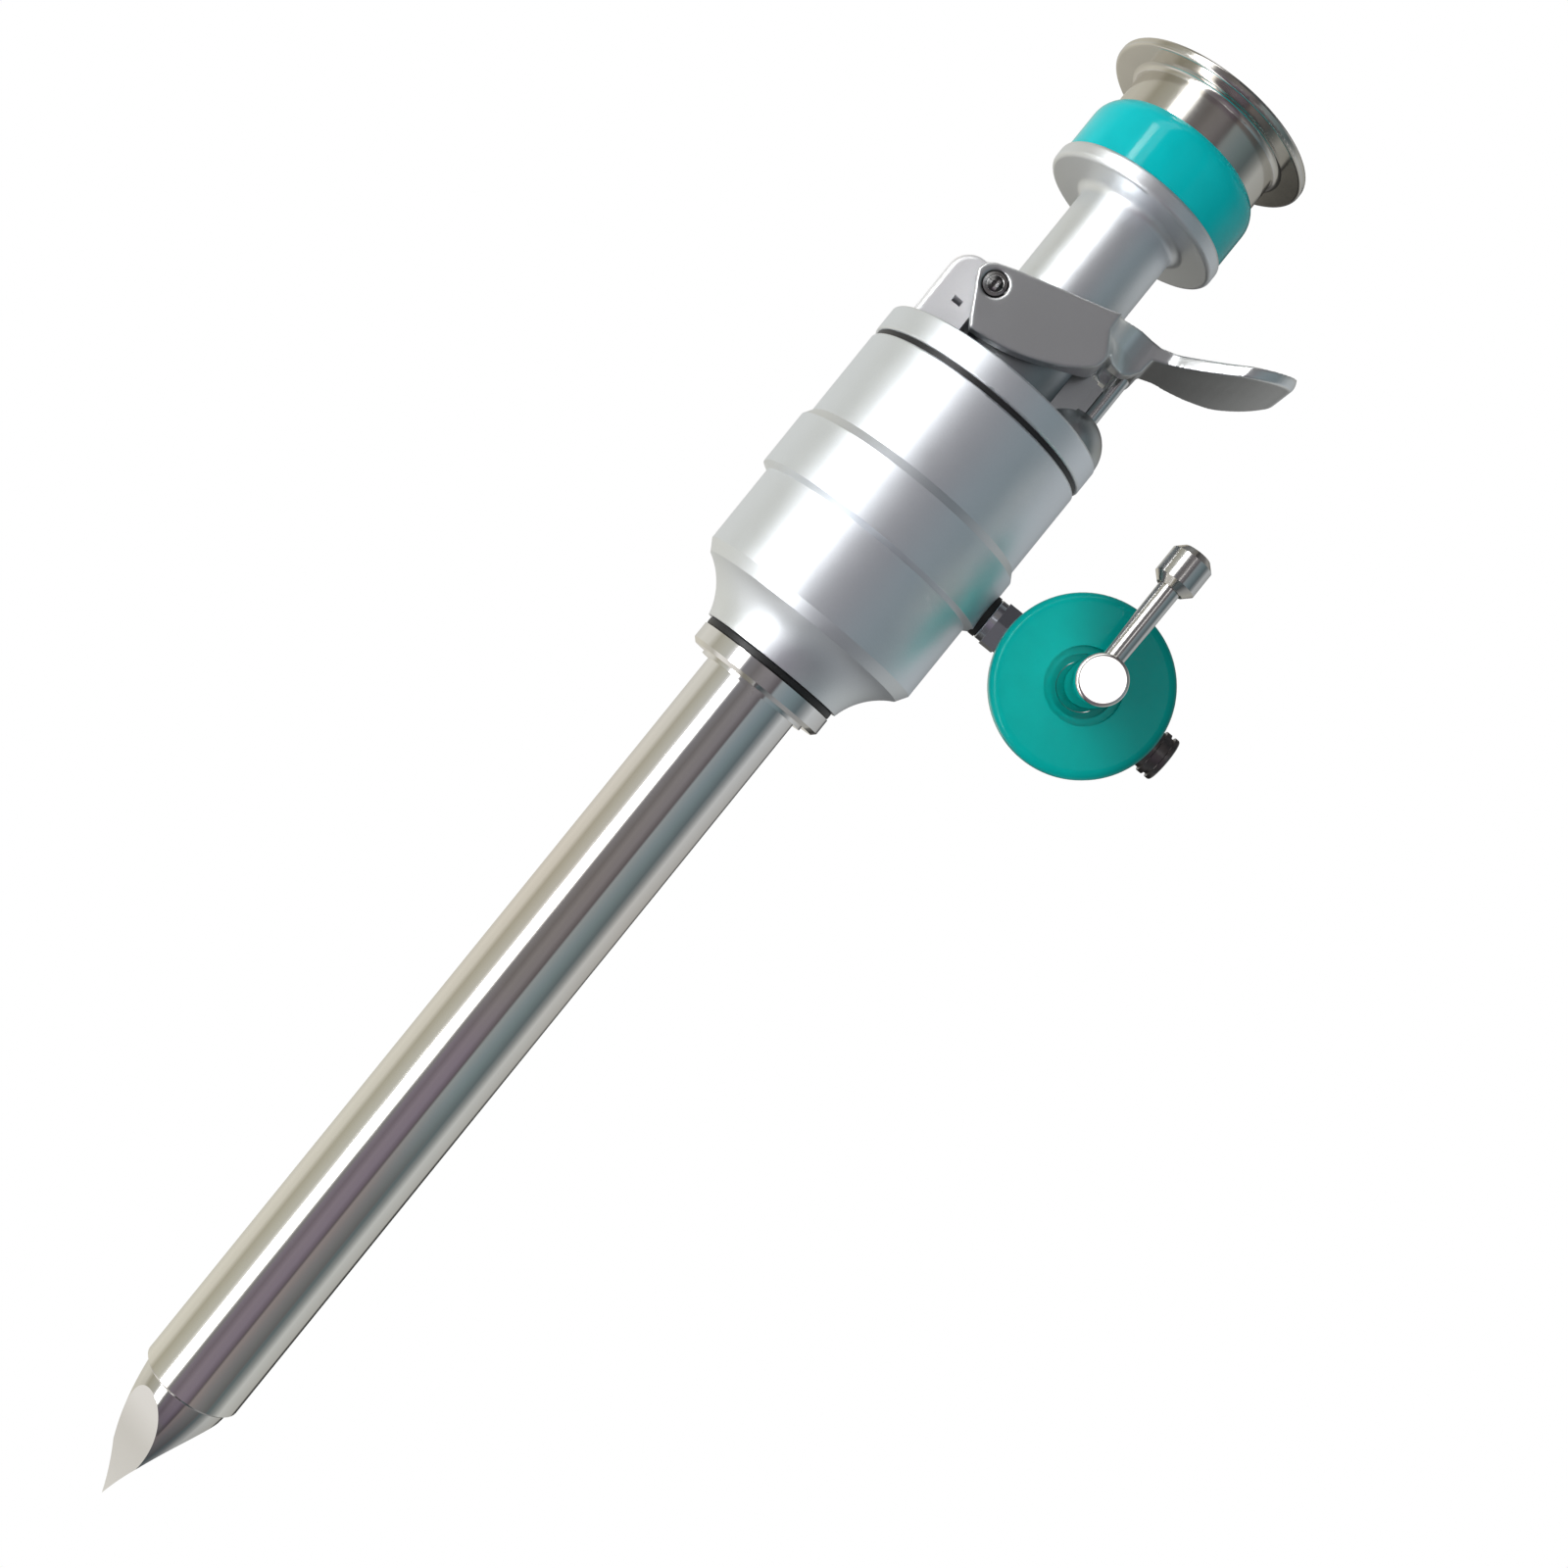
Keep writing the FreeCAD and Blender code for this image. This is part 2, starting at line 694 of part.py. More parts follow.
for side in (1, -1):
    near = f"{side} * block_width / 2"
    drill(block, "XZ_Plane", "0 - pivot_offset", pivot_height, "spring_recess_radius", near,
          "spring_recess_depth", reverse=side < 0)
    drill(block, "XZ_Plane", "0 - pivot_offset", pivot_height, "pivot_radius + solder_gap", near,
          "block_width / 2 - screw_shoulder_start", reverse=side < 0)
notch = new_sketch(block, "XZ_Plane")
notch_height = f"({cap_top} + notch_level)"
add_outline(notch, [
    ("0 - notch_offset - notch_length / 2", f"{notch_height} - notch_height / 2"),
    ("0 - notch_offset + notch_length / 2", f"{notch_height} - notch_height / 2"),
    ("0 - notch_offset + notch_length / 2", f"{notch_height} + notch_height / 2"),
    ("0 - notch_offset - notch_length / 2", f"{notch_height} + notch_height / 2"),
])
cut(block, notch)
parts.append(block)

# Hinge screws: one each side, with a smooth shoulder for the lever and a slotted head.
screw_seat = "(yoke_width / 2 - head_recess_depth)"
screw = turned("hinge_screw", [
    ("0", "screw_thread_end"),
    ("screw_thread_radius", "screw_thread_end"),
    ("screw_thread_radius", "screw_shoulder_start"),
    ("pivot_radius", "screw_shoulder_start"),
    ("pivot_radius", f"{screw_seat} + solder_gap"),
    ("screw_head_radius", f"{screw_seat} + solder_gap"),
    ("screw_head_radius", f"{screw_seat} + solder_gap + screw_head_height"),
    ("0", f"{screw_seat} + solder_gap + screw_head_height"),
], {"x": "0 - pivot_offset", "z": pivot_height}, TOWARDS_VIEWER)
slot = new_sketch(screw, "XY_Plane", f"{screw_seat} + solder_gap + screw_head_height")
add_outline(slot, [
    ("0 - screw_head_radius", "0 - screw_slot_width / 2"),
    ("screw_head_radius", "0 - screw_slot_width / 2"),
    ("screw_head_radius", "screw_slot_width / 2"),
    ("0 - screw_head_radius", "screw_slot_width / 2"),
])
cut(screw, slot, "screw_slot_depth")
parts.append(group("hinge_screws", [screw, other_side(screw)]))

# Lever springs: one coil round each screw, sunk in the block's side.
lever_coil = coil("lever_coil", "lever_spring_coil", "lever_spring_wire",
                  "(spring_recess_depth - 2 * lever_spring_wire - solder_gap) / lever_spring_turns",
                  "spring_recess_depth - 2 * lever_spring_wire - solder_gap",
                  {"x": "0 - pivot_offset", "z": pivot_height,
                   "y": "0 - block_width / 2 + spring_recess_depth - lever_spring_wire"}, TOWARDS_VIEWER)
parts.append(group("lever_springs", [lever_coil, other_side(lever_coil)]))

# Thumb lever: two cheeks that straddle the neck, a waist in front of it and a broad paddle.
lever = new_body("thumb_lever")
rear = "(0 - yoke_rear)"
rear_top = f"({pivot_height} + yoke_rise)"
rear_bottom = f"({pivot_height} - yoke_drop)"
cheek_bottom = f"({waist_bottom} - cheek_front_drop)"
paddle_top = f"({waist_top} + paddle_rise)"
slab(lever, "XZ_Plane", [
    (rear, f"{rear_top} - yoke_rear_height"),
    (f"{rear} + yoke_rear_length", rear_top),
    ("yoke_front - cheek_end", f"{waist_top} - cheek_end_drop"),
    ("waist_front - waist_nose", waist_top, "yoke_nose"),
    ("waist_front", waist_top, "bow", "0 - paddle_bow"),
    ("paddle_reach - paddle_edge", paddle_top, "bow", "paddle_edge_bow"),
    ("paddle_reach", f"{paddle_top} - paddle_thickness / 2", "bow", "paddle_edge_bow"),
    ("paddle_reach - paddle_edge", f"{paddle_top} - paddle_thickness", "bow", "paddle_bow"),
    ("waist_front", f"{waist_top} - paddle_thickness"),
    ("waist_front", f"{waist_bottom} + waist_bevel"),
    ("waist_front - waist_bevel", waist_bottom),
    ("yoke_front", waist_bottom),
    ("yoke_front", cheek_bottom),
    ("yoke_front - cheek_toe_length", f"{cheek_bottom} - cheek_toe_height", "bow", "yoke_bow"),
    ("0 - pivot_offset + yoke_foot_end", rear_bottom),
    ("0 - pivot_offset + yoke_foot_start", rear_bottom),
], "yoke_width")
plan = new_sketch(lever, "XY_Plane")
beyond = "(paddle_reach + yoke_width)"
outside = "yoke_width"
for side in ("", "0 - "):
    add_outline(plan, [
        ("yoke_front - cheek_end", f"{side}(yoke_width / 2)"),
        ("yoke_front + waist_start", f"{side}(waist_width / 2)", "waist_round"),
        ("waist_front", f"{side}(waist_width / 2)"),
        ("paddle_reach - paddle_end_run", f"{side}(paddle_width / 2)", "paddle_round"),
        ("paddle_reach - paddle_edge", f"{side}(paddle_width / 2 - paddle_corner)"),
        ("paddle_reach + rest_gap", f"{side}(paddle_flat / 2)"),
        (beyond, f"{side}(paddle_flat / 2)"),
        (beyond, f"{side}{outside}"),
        ("yoke_front - cheek_end", f"{side}{outside}"),
    ])
cut(lever, plan)
gap = new_sketch(lever, "XY_Plane")
gap_front = "neck_radius + yoke_clearance"
add_outline(gap, [
    ("0 - yoke_rear - 1", "0 - yoke_gap / 2"),
    (gap_front, "0 - yoke_gap / 2", "yoke_gap_round"),
    (gap_front, "yoke_gap / 2", "yoke_gap_round"),
    ("0 - yoke_rear - 1", "yoke_gap / 2"),
])
cut(lever, gap)
post_room = new_sketch(lever, "XZ_Plane")
add_outline(post_room, [
    ("0", cap_top),
    ("yoke_front + rest_gap", cap_top),
    ("yoke_front + rest_gap", waist_bottom),
    ("0", waist_bottom),
])
cut(lever, post_room, "post_width + 2 * post_clearance", both=True)
drill(lever, "XZ_Plane", "0 - pivot_offset", pivot_height, "pivot_radius + running_gap")
for side in (1, -1):
    drill(lever, "XZ_Plane", "0 - pivot_offset", pivot_height, "screw_head_radius + running_gap",
          f"{side} * yoke_width / 2", "head_recess_depth", reverse=side < 0)
parts.append(lever)

# Rod guide: a domed boss on the cap with a well for the push rod's spring, and a stop post.
dome = primitive("Sphere", "dome", {"Radius": "dome_radius"}, {"x": dome_offset, "z": cap_top})
dome.Angle1 = 0
post_inner = "(neck_radius - 1)"
post = primitive("Box", "post", {"Length": f"post_outer - {post_inner}", "Width": "post_width",
                                 "Height": "post_height"},
                 {"x": post_inner, "y": "0 - post_width / 2", "z": cap_top})
neck_room = primitive("Cylinder", "neck_room", {"Radius": "neck_radius + solder_gap",
                                                "Height": "post_height + 1"}, {"z": cap_top})
nose = primitive("Box", "nose", {"Length": f"{rod_offset} - post_outer",
                                 "Width": "nose_width", "Height": "post_height"},
                 {"x": "post_outer - nose_to_rod", "y": "0 - nose_width / 2", "z": cap_top})
rod_room = primitive("Cylinder", "rod_room", {"Radius": rod_head_hole, "Height": "post_height + 1"},
                     {"x": rod_offset, "z": cap_top})
spring_room = primitive("Cylinder", "spring_room", {"Radius": "rod_well_radius", "Height": "dome_well"},
                        {"x": rod_offset, "z": cap_top})
guide = join("Fuse", "dome_and_post", dome, post)
guide = join("Fuse", "guide_blank", guide, nose)
guide = join("Cut", "guide_beside_neck", guide, neck_room)
guide = join("Cut", "guide_with_well", guide, spring_room)
parts.append(join("Cut", "rod_guide", guide, rod_room))

# Push rod: passes the lever's stroke through the cap to the flap.
parts.append(turned("push_rod", [
    ("0", rod_bottom),
    ("rod_radius", rod_bottom),
    ("rod_radius", f"{rod_collar_top} - rod_collar_height"),
    ("rod_collar_radius", f"{rod_collar_top} - rod_collar_height"),
    ("rod_collar_radius", rod_collar_top),
    ("rod_head_radius", rod_collar_top),
    ("rod_head_radius", rod_top, "edge_round"),
    ("0", rod_top),
], {"x": rod_offset}))
rod_well_height = f"({rod_collar_top} - rod_collar_height - {rod_well_floor})"
rod_spring_height = f"({rod_well_height} - 2 * rod_spring_wire - 2 * solder_gap)"
rod_spring_pitch = f"{rod_spring_height} / rod_spring_turns"
rod_spring_foot = {"x": rod_offset, "z": f"{rod_well_floor} + rod_spring_wire + solder_gap"}
parts.append(coil("rod_spring", "rod_spring_coil", "rod_spring_wire", rod_spring_pitch, rod_spring_height,
                  rod_spring_foot))

# Flap bracket: a plate under the cap with two ears for the flap's axle.
bracket = new_body("flap_bracket")
plate = new_sketch(bracket, "XY_Plane", spigot_bottom)
add_outline(plate, [
    (bracket_inner, "0 - ear_outer / 2"),
    (f"{bracket_outer} + 1", "0 - ear_outer / 2"),
    (f"{bracket_outer} + 1", "ear_outer / 2"),
    (bracket_inner, "ear_outer / 2"),
])
plate_pad = feature(bracket, "Pad", plate, reverse=True)
plate_pad.setExpression("Length", formula("bracket_thickness"))
slab(bracket, "XZ_Plane", [
    (f"{axle_offset} - ear_half_width", f"{spigot_bottom} - bracket_thickness"),
    (f"{axle_offset} - ear_half_width", f"{seat_bottom} - ear_half_width", "ear_half_width / 2"),
    (f"{axle_offset} + ear_half_width", f"{seat_bottom} - ear_half_width", "ear_half_width / 2"),
    (f"{axle_offset} + ear_half_width", f"{spigot_bottom} - bracket_thickness"),
], "ear_outer")
between = new_sketch(bracket, "XY_Plane", f"{spigot_bottom} - bracket_thickness")
add_outline(between, [
    (bracket_inner, "0 - ear_inner / 2"),
    (f"{bracket_outer} + 1", "0 - ear_inner / 2"),
    (f"{bracket_outer} + 1", "ear_inner / 2"),
    (bracket_inner, "ear_inner / 2"),
])
cut(bracket, between, "seat_height + ear_half_width")
wall_side = new_sketch(bracket, "XY_Plane")
add_circle(wall_side, "0", "0", bracket_outer)
add_circle(wall_side, "0", "0", f"{bracket_outer} + chamber_radius")
cut(bracket, wall_side)
drill(bracket, "XY_Plane", rod_offset, "0", rod_hole)
drill(bracket, "XZ_Plane", axle_offset, seat_bottom, "flap_axle_radius + solder_gap")
parts.append(bracket)
parts.append(primitive("Cylinder", "flap_axle", {"Radius": "flap_axle_radius", "Height": "ear_outer"},
                       {"x": axle_offset, "y": "ear_outer / 2", "z": seat_bottom}, TOWARDS_VIEWER))

# Flap: drawn closed against the seat, then swung down beside the shaft that holds it open.
flap = new_body("flap")
for loop in ("disc", "arm"):
    sketch = new_sketch(flap, "XY_Plane", seat_bottom)
    if loop == "disc":
        add_circle(sketch, "0", "0", "flap_radius")
    else:
        add_outline(sketch, [
            ("0", "0 - flap_arm_width / 2"),
            (f"{axle_offset} - knuckle_radius", "0 - flap_arm_width / 2", "edge_round"),
            (f"{axle_offset} - knuckle_radius", "flap_arm_width / 2", "edge_round"),
            ("0", "flap_arm_width / 2"),
        ])
    pad = feature(flap, "Pad", sketch, reverse=True)
    pad.setExpression("Length", formula("flap_thickness"))
    doc.recompute()
slab(flap, "XZ_Plane", [
    (axle_offset, seat_bottom),
    (f"{axle_offset} - 2 * knuckle_radius", seat_bottom),
    (f"{axle_offset} - 2 * knuckle_radius", f"{seat_bottom} - flap_thickness"),
    (axle_offset, f"{seat_bottom} - flap_thickness"),
], "knuckle_outer")
knuckle = new_sketch(flap, "XZ_Plane")
add_circle(knuckle, axle_offset, seat_bottom, "knuckle_radius")
pad = feature(flap, "Pad", knuckle)
pad.SideType = "Symmetric"
pad.setExpression("Length", formula("knuckle_outer"))
doc.recompute()
rod_slot = new_sketch(flap, "XY_Plane")
add_outline(rod_slot, [
    (f"{axle_offset} - 1.25 * knuckle_radius", "0 - knuckle_slot / 2"),
    (f"{axle_offset} + 2 * knuckle_radius", "0 - knuckle_slot / 2"),
    (f"{axle_offset} + 2 * knuckle_radius", "knuckle_slot / 2"),
    (f"{axle_offset} - 1.25 * knuckle_radius", "knuckle_slot / 2"),
])
cut(flap, rod_slot)
drill(flap, "XZ_Plane", axle_offset, seat_bottom, "flap_axle_radius + running_gap")
flap.Placement = FreeCAD.Placement(
    FreeCAD.Vector(), FreeCAD.Rotation(FreeCAD.Vector(0, 1, 0), -number("flap_open_angle")),
    FreeCAD.Vector(number(axle_offset), 0, number(seat_bottom)))
parts.append(flap)
flap_spring_foot = {"x": axle_offset, "y": "0 - knuckle_outer / 2 - flap_spring_wire - solder_gap",
                    "z": seat_bottom}
flap_coil = coil("flap_coil", "flap_spring_coil", "flap_spring_wire", "flap_spring_pitch",
                 "flap_spring_width", flap_spring_foot, TOWARDS_VIEWER)
parts.append(group("flap_springs", [flap_coil, other_side(flap_coil)]))

# Stopcock: a tube screwed into the housing's band, with a tapered plug across it.
stem_face = "(port_face + stem_washer_height)"
stem_ring = ring("port_thread_radius + solder_gap", "stem_washer_radius", "port_face", stem_face)
parts.append(turned("stem_washer", stem_ring, {"z": "port_level"}, ALONG_X))
tap = new_body("stopcock_body", {"x": "plug_offset", "z": "port_level"})
tube = new_sketch(tap, "XZ_Plane")
thread_start = "(chamber_radius + rest_gap - plug_offset)"
tube_end = "(luer_end - luer_length + luer_socket_length - plug_offset)"
luer_start = "(luer_end - luer_length - plug_offset - solder_gap)"
add_outline(tube, [
    (thread_start, "gas_bore_radius"),
    (tube_end, "gas_bore_radius"),
    (tube_end, "luer_tube_radius"),
    (luer_start, "luer_tube_radius"),
    (luer_start, "stem_radius"),
    (f"{stem_face} - plug_offset", "stem_radius", "edge_round"),
    (f"{stem_face} - plug_offset", "port_thread_radius"),
    (thread_start, "port_thread_radius"),
])
spin = feature(tap, "Revolution", tube)
spin.ReferenceAxis = (tube, ["H_Axis"])
spin.Angle = 360
doc.recompute()
barrel = new_sketch(tap, "YZ_Plane")
add_outline(barrel, [
    ("0 - barrel_front", "0"),
    ("barrel_back", "0"),
    ("barrel_back", "barrel_radius", "edge_round"),
    ("0 - barrel_front", "barrel_radius", "edge_round"),
])
spin = feature(tap, "Revolution", barrel)
spin.ReferenceAxis = (barrel, ["H_Axis"])
spin.Angle = 360
doc.recompute()


def hexagon(width):
    """The corners of a hexagon of a given width across its flats."""
    corner = f"{width} / 2 / cos(30)"
    return [(f"{corner} * cos({60 * i})", f"{corner} * sin({60 * i})") for i in range(6)]


nut = new_sketch(tap, "YZ_Plane", "hex_start - plug_offset")
add_outline(nut, hexagon("hex_width"))
nut_pad = feature(tap, "Pad", nut)
nut_pad.setExpression("Length", formula("hex_length"))
doc.recompute()
taper = new_sketch(tap, "YZ_Plane")
add_outline(taper, [
    ("0 - barrel_front - 1", "0"),
    ("0 - barrel_front - 1", "plug_front_radius + running_gap"),
    ("0 - barrel_front", "plug_front_radius + running_gap"),
    ("barrel_back", "plug_back_radius + running_gap"),
    ("barrel_back + 1", "plug_back_radius + running_gap"),
    ("barrel_back + 1", "0"),
])
groove = feature(tap, "Groove", taper)
groove.ReferenceAxis = (taper, ["H_Axis"])
groove.Angle = 360
doc.recompute()
drill(tap, "YZ_Plane", "0", "0", "gas_bore_radius")
parts.append(tap)

# Luer connector: the stopcock's outer end, with a bore for an insufflation tube.
socket_end = "(luer_end - luer_length + luer_socket_length + solder_gap)"
groove_start = "(luer_end - 2 * luer_flange_width - luer_groove_width)"
parts.append(turned("luer_connector", [
    ("luer_tube_radius + solder_gap", "luer_end - luer_length"),
    ("luer_body_radius", "luer_end - luer_length", "edge_round"),
    ("luer_body_radius", groove_start),
    ("luer_flange_radius", groove_start),
    ("luer_flange_radius", f"{groove_start} + luer_flange_width"),
    ("luer_body_radius", f"{groove_start} + luer_flange_width"),
    ("luer_body_radius", "luer_end - luer_flange_width"),
    ("luer_flange_radius", "luer_end - luer_flange_width"),
    ("luer_flange_radius", "luer_end", "edge_round"),
    ("luer_bore_radius", "luer_end"),
    ("luer_bore_radius", "luer_end - luer_bore_length"),
    ("gas_bore_radius", "luer_end - luer_bore_length"),
    ("gas_bore_radius", socket_end),
    ("luer_tube_radius + solder_gap", socket_end),
], {"z": "port_level"}, ALONG_X))

# Plug: a tapered cock with a cross bore, a stud behind for its nut and a long hub in front.
at_plug = {"x": "plug_offset", "z": "port_level"}
disc_back = "(barrel_front + disc_gap)"
disc_front = f"({disc_back} + disc_thickness)"
hub_end = "(barrel_front + hub_length)"
collar_front = "(barrel_front + hub_collar_length + solder_gap)"
plug = turned("stopcock_plug", [
    ("0", "0 - barrel_back - plug_stud_length"),
    ("plug_stud_radius", "0 - barrel_back - plug_stud_length", "edge_round"),
    ("plug_stud_radius", "rest_gap - barrel_back"),
    ("plug_back_radius", "rest_gap - barrel_back"),
    ("plug_front_radius", "barrel_front"),
    ("plug_front_radius", "barrel_front + running_gap"),
    ("hub_collar_radius", "barrel_front + running_gap"),
    ("hub_collar_radius", "barrel_front + hub_collar_length"),
    ("hub_radius", "barrel_front + hub_collar_length"),
    ("hub_radius", hub_end, "hub_round"),
    ("0", hub_end),
], at_plug, TOWARDS_VIEWER)
drill(plug, "XZ_Plane", "0", "0", "gas_bore_radius")
drill(plug, "XZ_Plane", "0", "handle_depth", "handle_root_radius + solder_gap", "handle_sink - hub_radius",
      "hub_radius")
parts.append(plug)
parts.append(turned("stopcock_disc", [
    ("hub_collar_radius + solder_gap", disc_back),
    ("disc_radius", disc_back, "disc_round / 2"),
    ("disc_radius", disc_front, "disc_round"),
    ("disc_recess_radius", disc_front),
    ("disc_recess_radius", f"{disc_front} - disc_recess_depth"),
    ("disc_step_radius", f"{disc_front} - disc_recess_depth"),
    ("disc_step_radius", f"{collar_front} + disc_lip"),
    ("hub_radius + solder_gap", f"{collar_front} + disc_lip"),
    ("hub_radius + solder_gap", collar_front),
    ("hub_collar_radius + solder_gap", collar_front),
], at_plug, TOWARDS_VIEWER))
washer_back = "(0 - barrel_back - plug_washer_thickness - solder_gap)"
parts.append(turned("plug_washer", ring("plug_stud_radius + solder_gap", "plug_washer_radius", washer_back,
                                        "0 - barrel_back - solder_gap"), at_plug, TOWARDS_VIEWER))
plug_nut = new_body("plug_nut", at_plug, TOWARDS_VIEWER)
nut_face = new_sketch(plug_nut, "XY_Plane", f"{washer_back} - solder_gap - plug_nut_height")
add_outline(nut_face, hexagon("plug_nut_width"))
add_circle(nut_face, "0", "0", "plug_stud_radius + solder_gap")
nut_pad = feature(plug_nut, "Pad", nut_face)
nut_pad.setExpression("Length", formula("plug_nut_height"))
parts.append(plug_nut)

# Handle: a slim rod screwed into the hub, with a bevelled knob on its end.
knob_base = "(knob_reach - knob_length)"
at_handle = {"x": "plug_offset", "y": "0 - handle_depth", "z": "port_level"}
parts.append(turned("handle_rod", [
    ("0", "hub_radius - handle_sink + solder_gap"),
    ("handle_root_radius", "hub_radius - handle_sink + solder_gap"),
    ("handle_root_radius", "hub_radius"),
    ("handle_end_radius", f"{knob_base} + knob_sink"),
    ("0", f"{knob_base} + knob_sink"),
], at_handle))
parts.append(turned("handle_knob", [
    ("handle_end_radius + solder_gap", knob_base),
    ("knob_radius - knob_chamfer", knob_base),
    ("knob_radius", f"{knob_base} + knob_chamfer"),
    ("knob_radius", "knob_reach - knob_chamfer"),
    ("knob_radius - knob_chamfer", "knob_reach"),
    ("0", "knob_reach"),
    ("0", f"{knob_base} + knob_sink + solder_gap"),
    ("handle_end_radius + solder_gap", f"{knob_base} + knob_sink + solder_gap"),
], at_handle))

# Obturator: a rod with a ground three-sided point, and a spool head that rests on the seal cap.
parts.append(turned("obturator_shaft", [
    ("0", f"{tip_top} + tip_spigot_length + solder_gap"),
    ("tip_spigot_radius + solder_gap", f"{tip_top} + tip_spigot_length + solder_gap"),
    ("tip_spigot_radius + solder_gap", tip_top),
    ("shaft_radius", tip_top),
    ("shaft_radius", head_bottom),
    ("head_spigot_radius", head_bottom),
    ("head_spigot_radius", f"{head_bottom} + head_spigot_length"),
    ("0", f"{head_bottom} + head_spigot_length"),
]))
parts.append(turned("obturator_head", [
    ("head_spigot_radius + solder_gap", head_bottom),
    ("head_radius", head_bottom, "edge_round"),
    ("head_radius", flange_bottom, "head_fillet"),
    ("flange_radius", flange_bottom, "flange_round"),
    ("flange_radius", head_top, "flange_round"),
    ("0", head_top),
    ("0", f"{head_bottom} + head_spigot_length + solder_gap"),
    ("head_spigot_radius + solder_gap", f"{head_bottom} + head_spigot_length + solder_gap"),
]))
tip = turned("obturator_tip", [
    ("0", tip_end, "bow", "0 - tip_ogive"),
    ("shaft_radius", f"{tip_end} + tip_ogive_length"),
    ("shaft_radius", f"{tip_top} - solder_gap"),
    ("tip_spigot_radius", f"{tip_top} - solder_gap"),
    ("tip_spigot_radius", f"{tip_top} + tip_spigot_length"),
    ("0", f"{tip_top} + tip_spigot_length"),
])
facet = new_sketch(tip, "XZ_Plane")
add_outline(facet, [
    ("0", tip_end, "bow", "tip_hollow"),
    ("shaft_radius", f"{tip_end} + tip_point_length"),
    ("2 * shaft_radius", f"{tip_end} + tip_point_length"),
    ("2 * shaft_radius", f"{tip_end} - 1"),
    ("0", f"{tip_end} - 1"),
])
facet_cut = cut(tip, facet)
facets = tip.newObject("PartDesign::PolarPattern", "obturator_tip_facets")
facets.Originals = [facet_cut]
facets.Axis = ([item for item in tip.Origin.OriginFeatures if item.Role == "Z_Axis"][0], [""])
facets.Angle = 360
facets.setExpression("Occurrences", formula("facet_count"))
tip.Tip = facets
parts.append(tip)

doc.recompute()
os.makedirs("parts", exist_ok=True)
for item in doc.Objects:
    if "Invalid" in item.State or "Error" in item.State:
        raise ValueError(f"{item.Name} failed: {item.State}")
for piece in parts:
    if piece.Shape.isNull() or not piece.Shape.isValid():
        raise ValueError(f"{piece.Label} has no valid shape")
    piece.Shape.exportStep(f"parts/{piece.Label}.step")
    print(piece.Label, len(piece.Shape.Solids), round(piece.Shape.Volume, 2), piece.Shape.BoundBox)
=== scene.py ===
import math

import bmesh
import bpy
from mathutils import Matrix, Vector


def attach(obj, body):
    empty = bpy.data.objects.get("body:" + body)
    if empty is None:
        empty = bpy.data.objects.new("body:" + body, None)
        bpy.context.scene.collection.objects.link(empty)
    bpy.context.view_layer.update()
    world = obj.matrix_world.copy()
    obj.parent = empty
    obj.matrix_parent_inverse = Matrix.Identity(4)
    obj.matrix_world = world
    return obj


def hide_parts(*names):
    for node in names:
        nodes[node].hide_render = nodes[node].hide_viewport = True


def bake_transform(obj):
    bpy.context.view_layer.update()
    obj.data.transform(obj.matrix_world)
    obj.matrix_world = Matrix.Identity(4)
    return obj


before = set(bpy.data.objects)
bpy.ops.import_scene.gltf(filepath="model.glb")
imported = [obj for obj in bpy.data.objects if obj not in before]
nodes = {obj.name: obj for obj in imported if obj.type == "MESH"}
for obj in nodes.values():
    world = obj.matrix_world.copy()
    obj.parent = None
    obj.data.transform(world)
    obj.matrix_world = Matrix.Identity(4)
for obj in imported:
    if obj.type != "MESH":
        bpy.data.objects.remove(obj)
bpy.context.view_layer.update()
MM = 0.001


# ---------------------------------------------------------------- Camera
# The photograph's view: level with the tube's upper end and square to the stopcock's disc, with the
# camera turned on its own axis, so that the object leans to the right in the picture.
scene = bpy.context.scene
camera = bpy.data.objects.new("camera", bpy.data.cameras.new("camera"))
scene.collection.objects.link(camera)
camera.data.lens = 43.875
camera.data.sensor_width = 36
camera.data.clip_start = 0.01
LEAN = 39
camera.matrix_world = (Matrix.Translation((8.95 * MM, -203 * MM, -5.4 * MM))
                       @ Matrix.Rotation(math.radians(90), 4, "X")
                       @ Matrix.Rotation(math.radians(LEAN), 4, "Z"))
scene.camera = camera
scene.view_settings.view_transform = "Standard"


# ---------------------------------------------------------------- Surroundings
# A white backdrop for the camera, with no floor and no lamps. What the metal mirrors is a made-up room
# of upright bands, set to match the photograph's reflections: pale walls to the left, a bright window
# front left, dim furniture ahead and a pale wall to the right.
def link(tree, source, target):
    tree.links.new(source, target)


def node(tree, kind, values=None, **settings):
    """Add a node, set its properties, then its inputs: a value, or another node's output."""
    made = tree.nodes.new(kind)
    for name, value in settings.items():
        setattr(made, name, value)
    for name, value in (values or {}).items():
        if isinstance(value, bpy.types.NodeSocket):
            link(tree, value, made.inputs[name])
        else:
            made.inputs[name].default_value = value
    return made


def maths(tree, operation, *values):
    """One step of arithmetic on values or outputs."""
    made = node(tree, "ShaderNodeMath", operation=operation)
    for i, value in enumerate(values):
        if isinstance(value, bpy.types.NodeSocket):
            link(tree, value, made.inputs[i])
        else:
            made.inputs[i].default_value = value
    return made.outputs[0]


def ramp(tree, factor, stops):
    """A colour ramp from (position, colour) pairs; a single number is a grey."""
    made = node(tree, "ShaderNodeValToRGB", {"Fac": factor})
    elements = made.color_ramp.elements
    for i, (position, colour) in enumerate(stops):
        colour = colour if isinstance(colour, tuple) else (colour, colour, colour)
        element = elements[i] if i < 2 else elements.new(position)
        element.position = position
        element.color = (*colour, 1)
    return made.outputs["Color"]


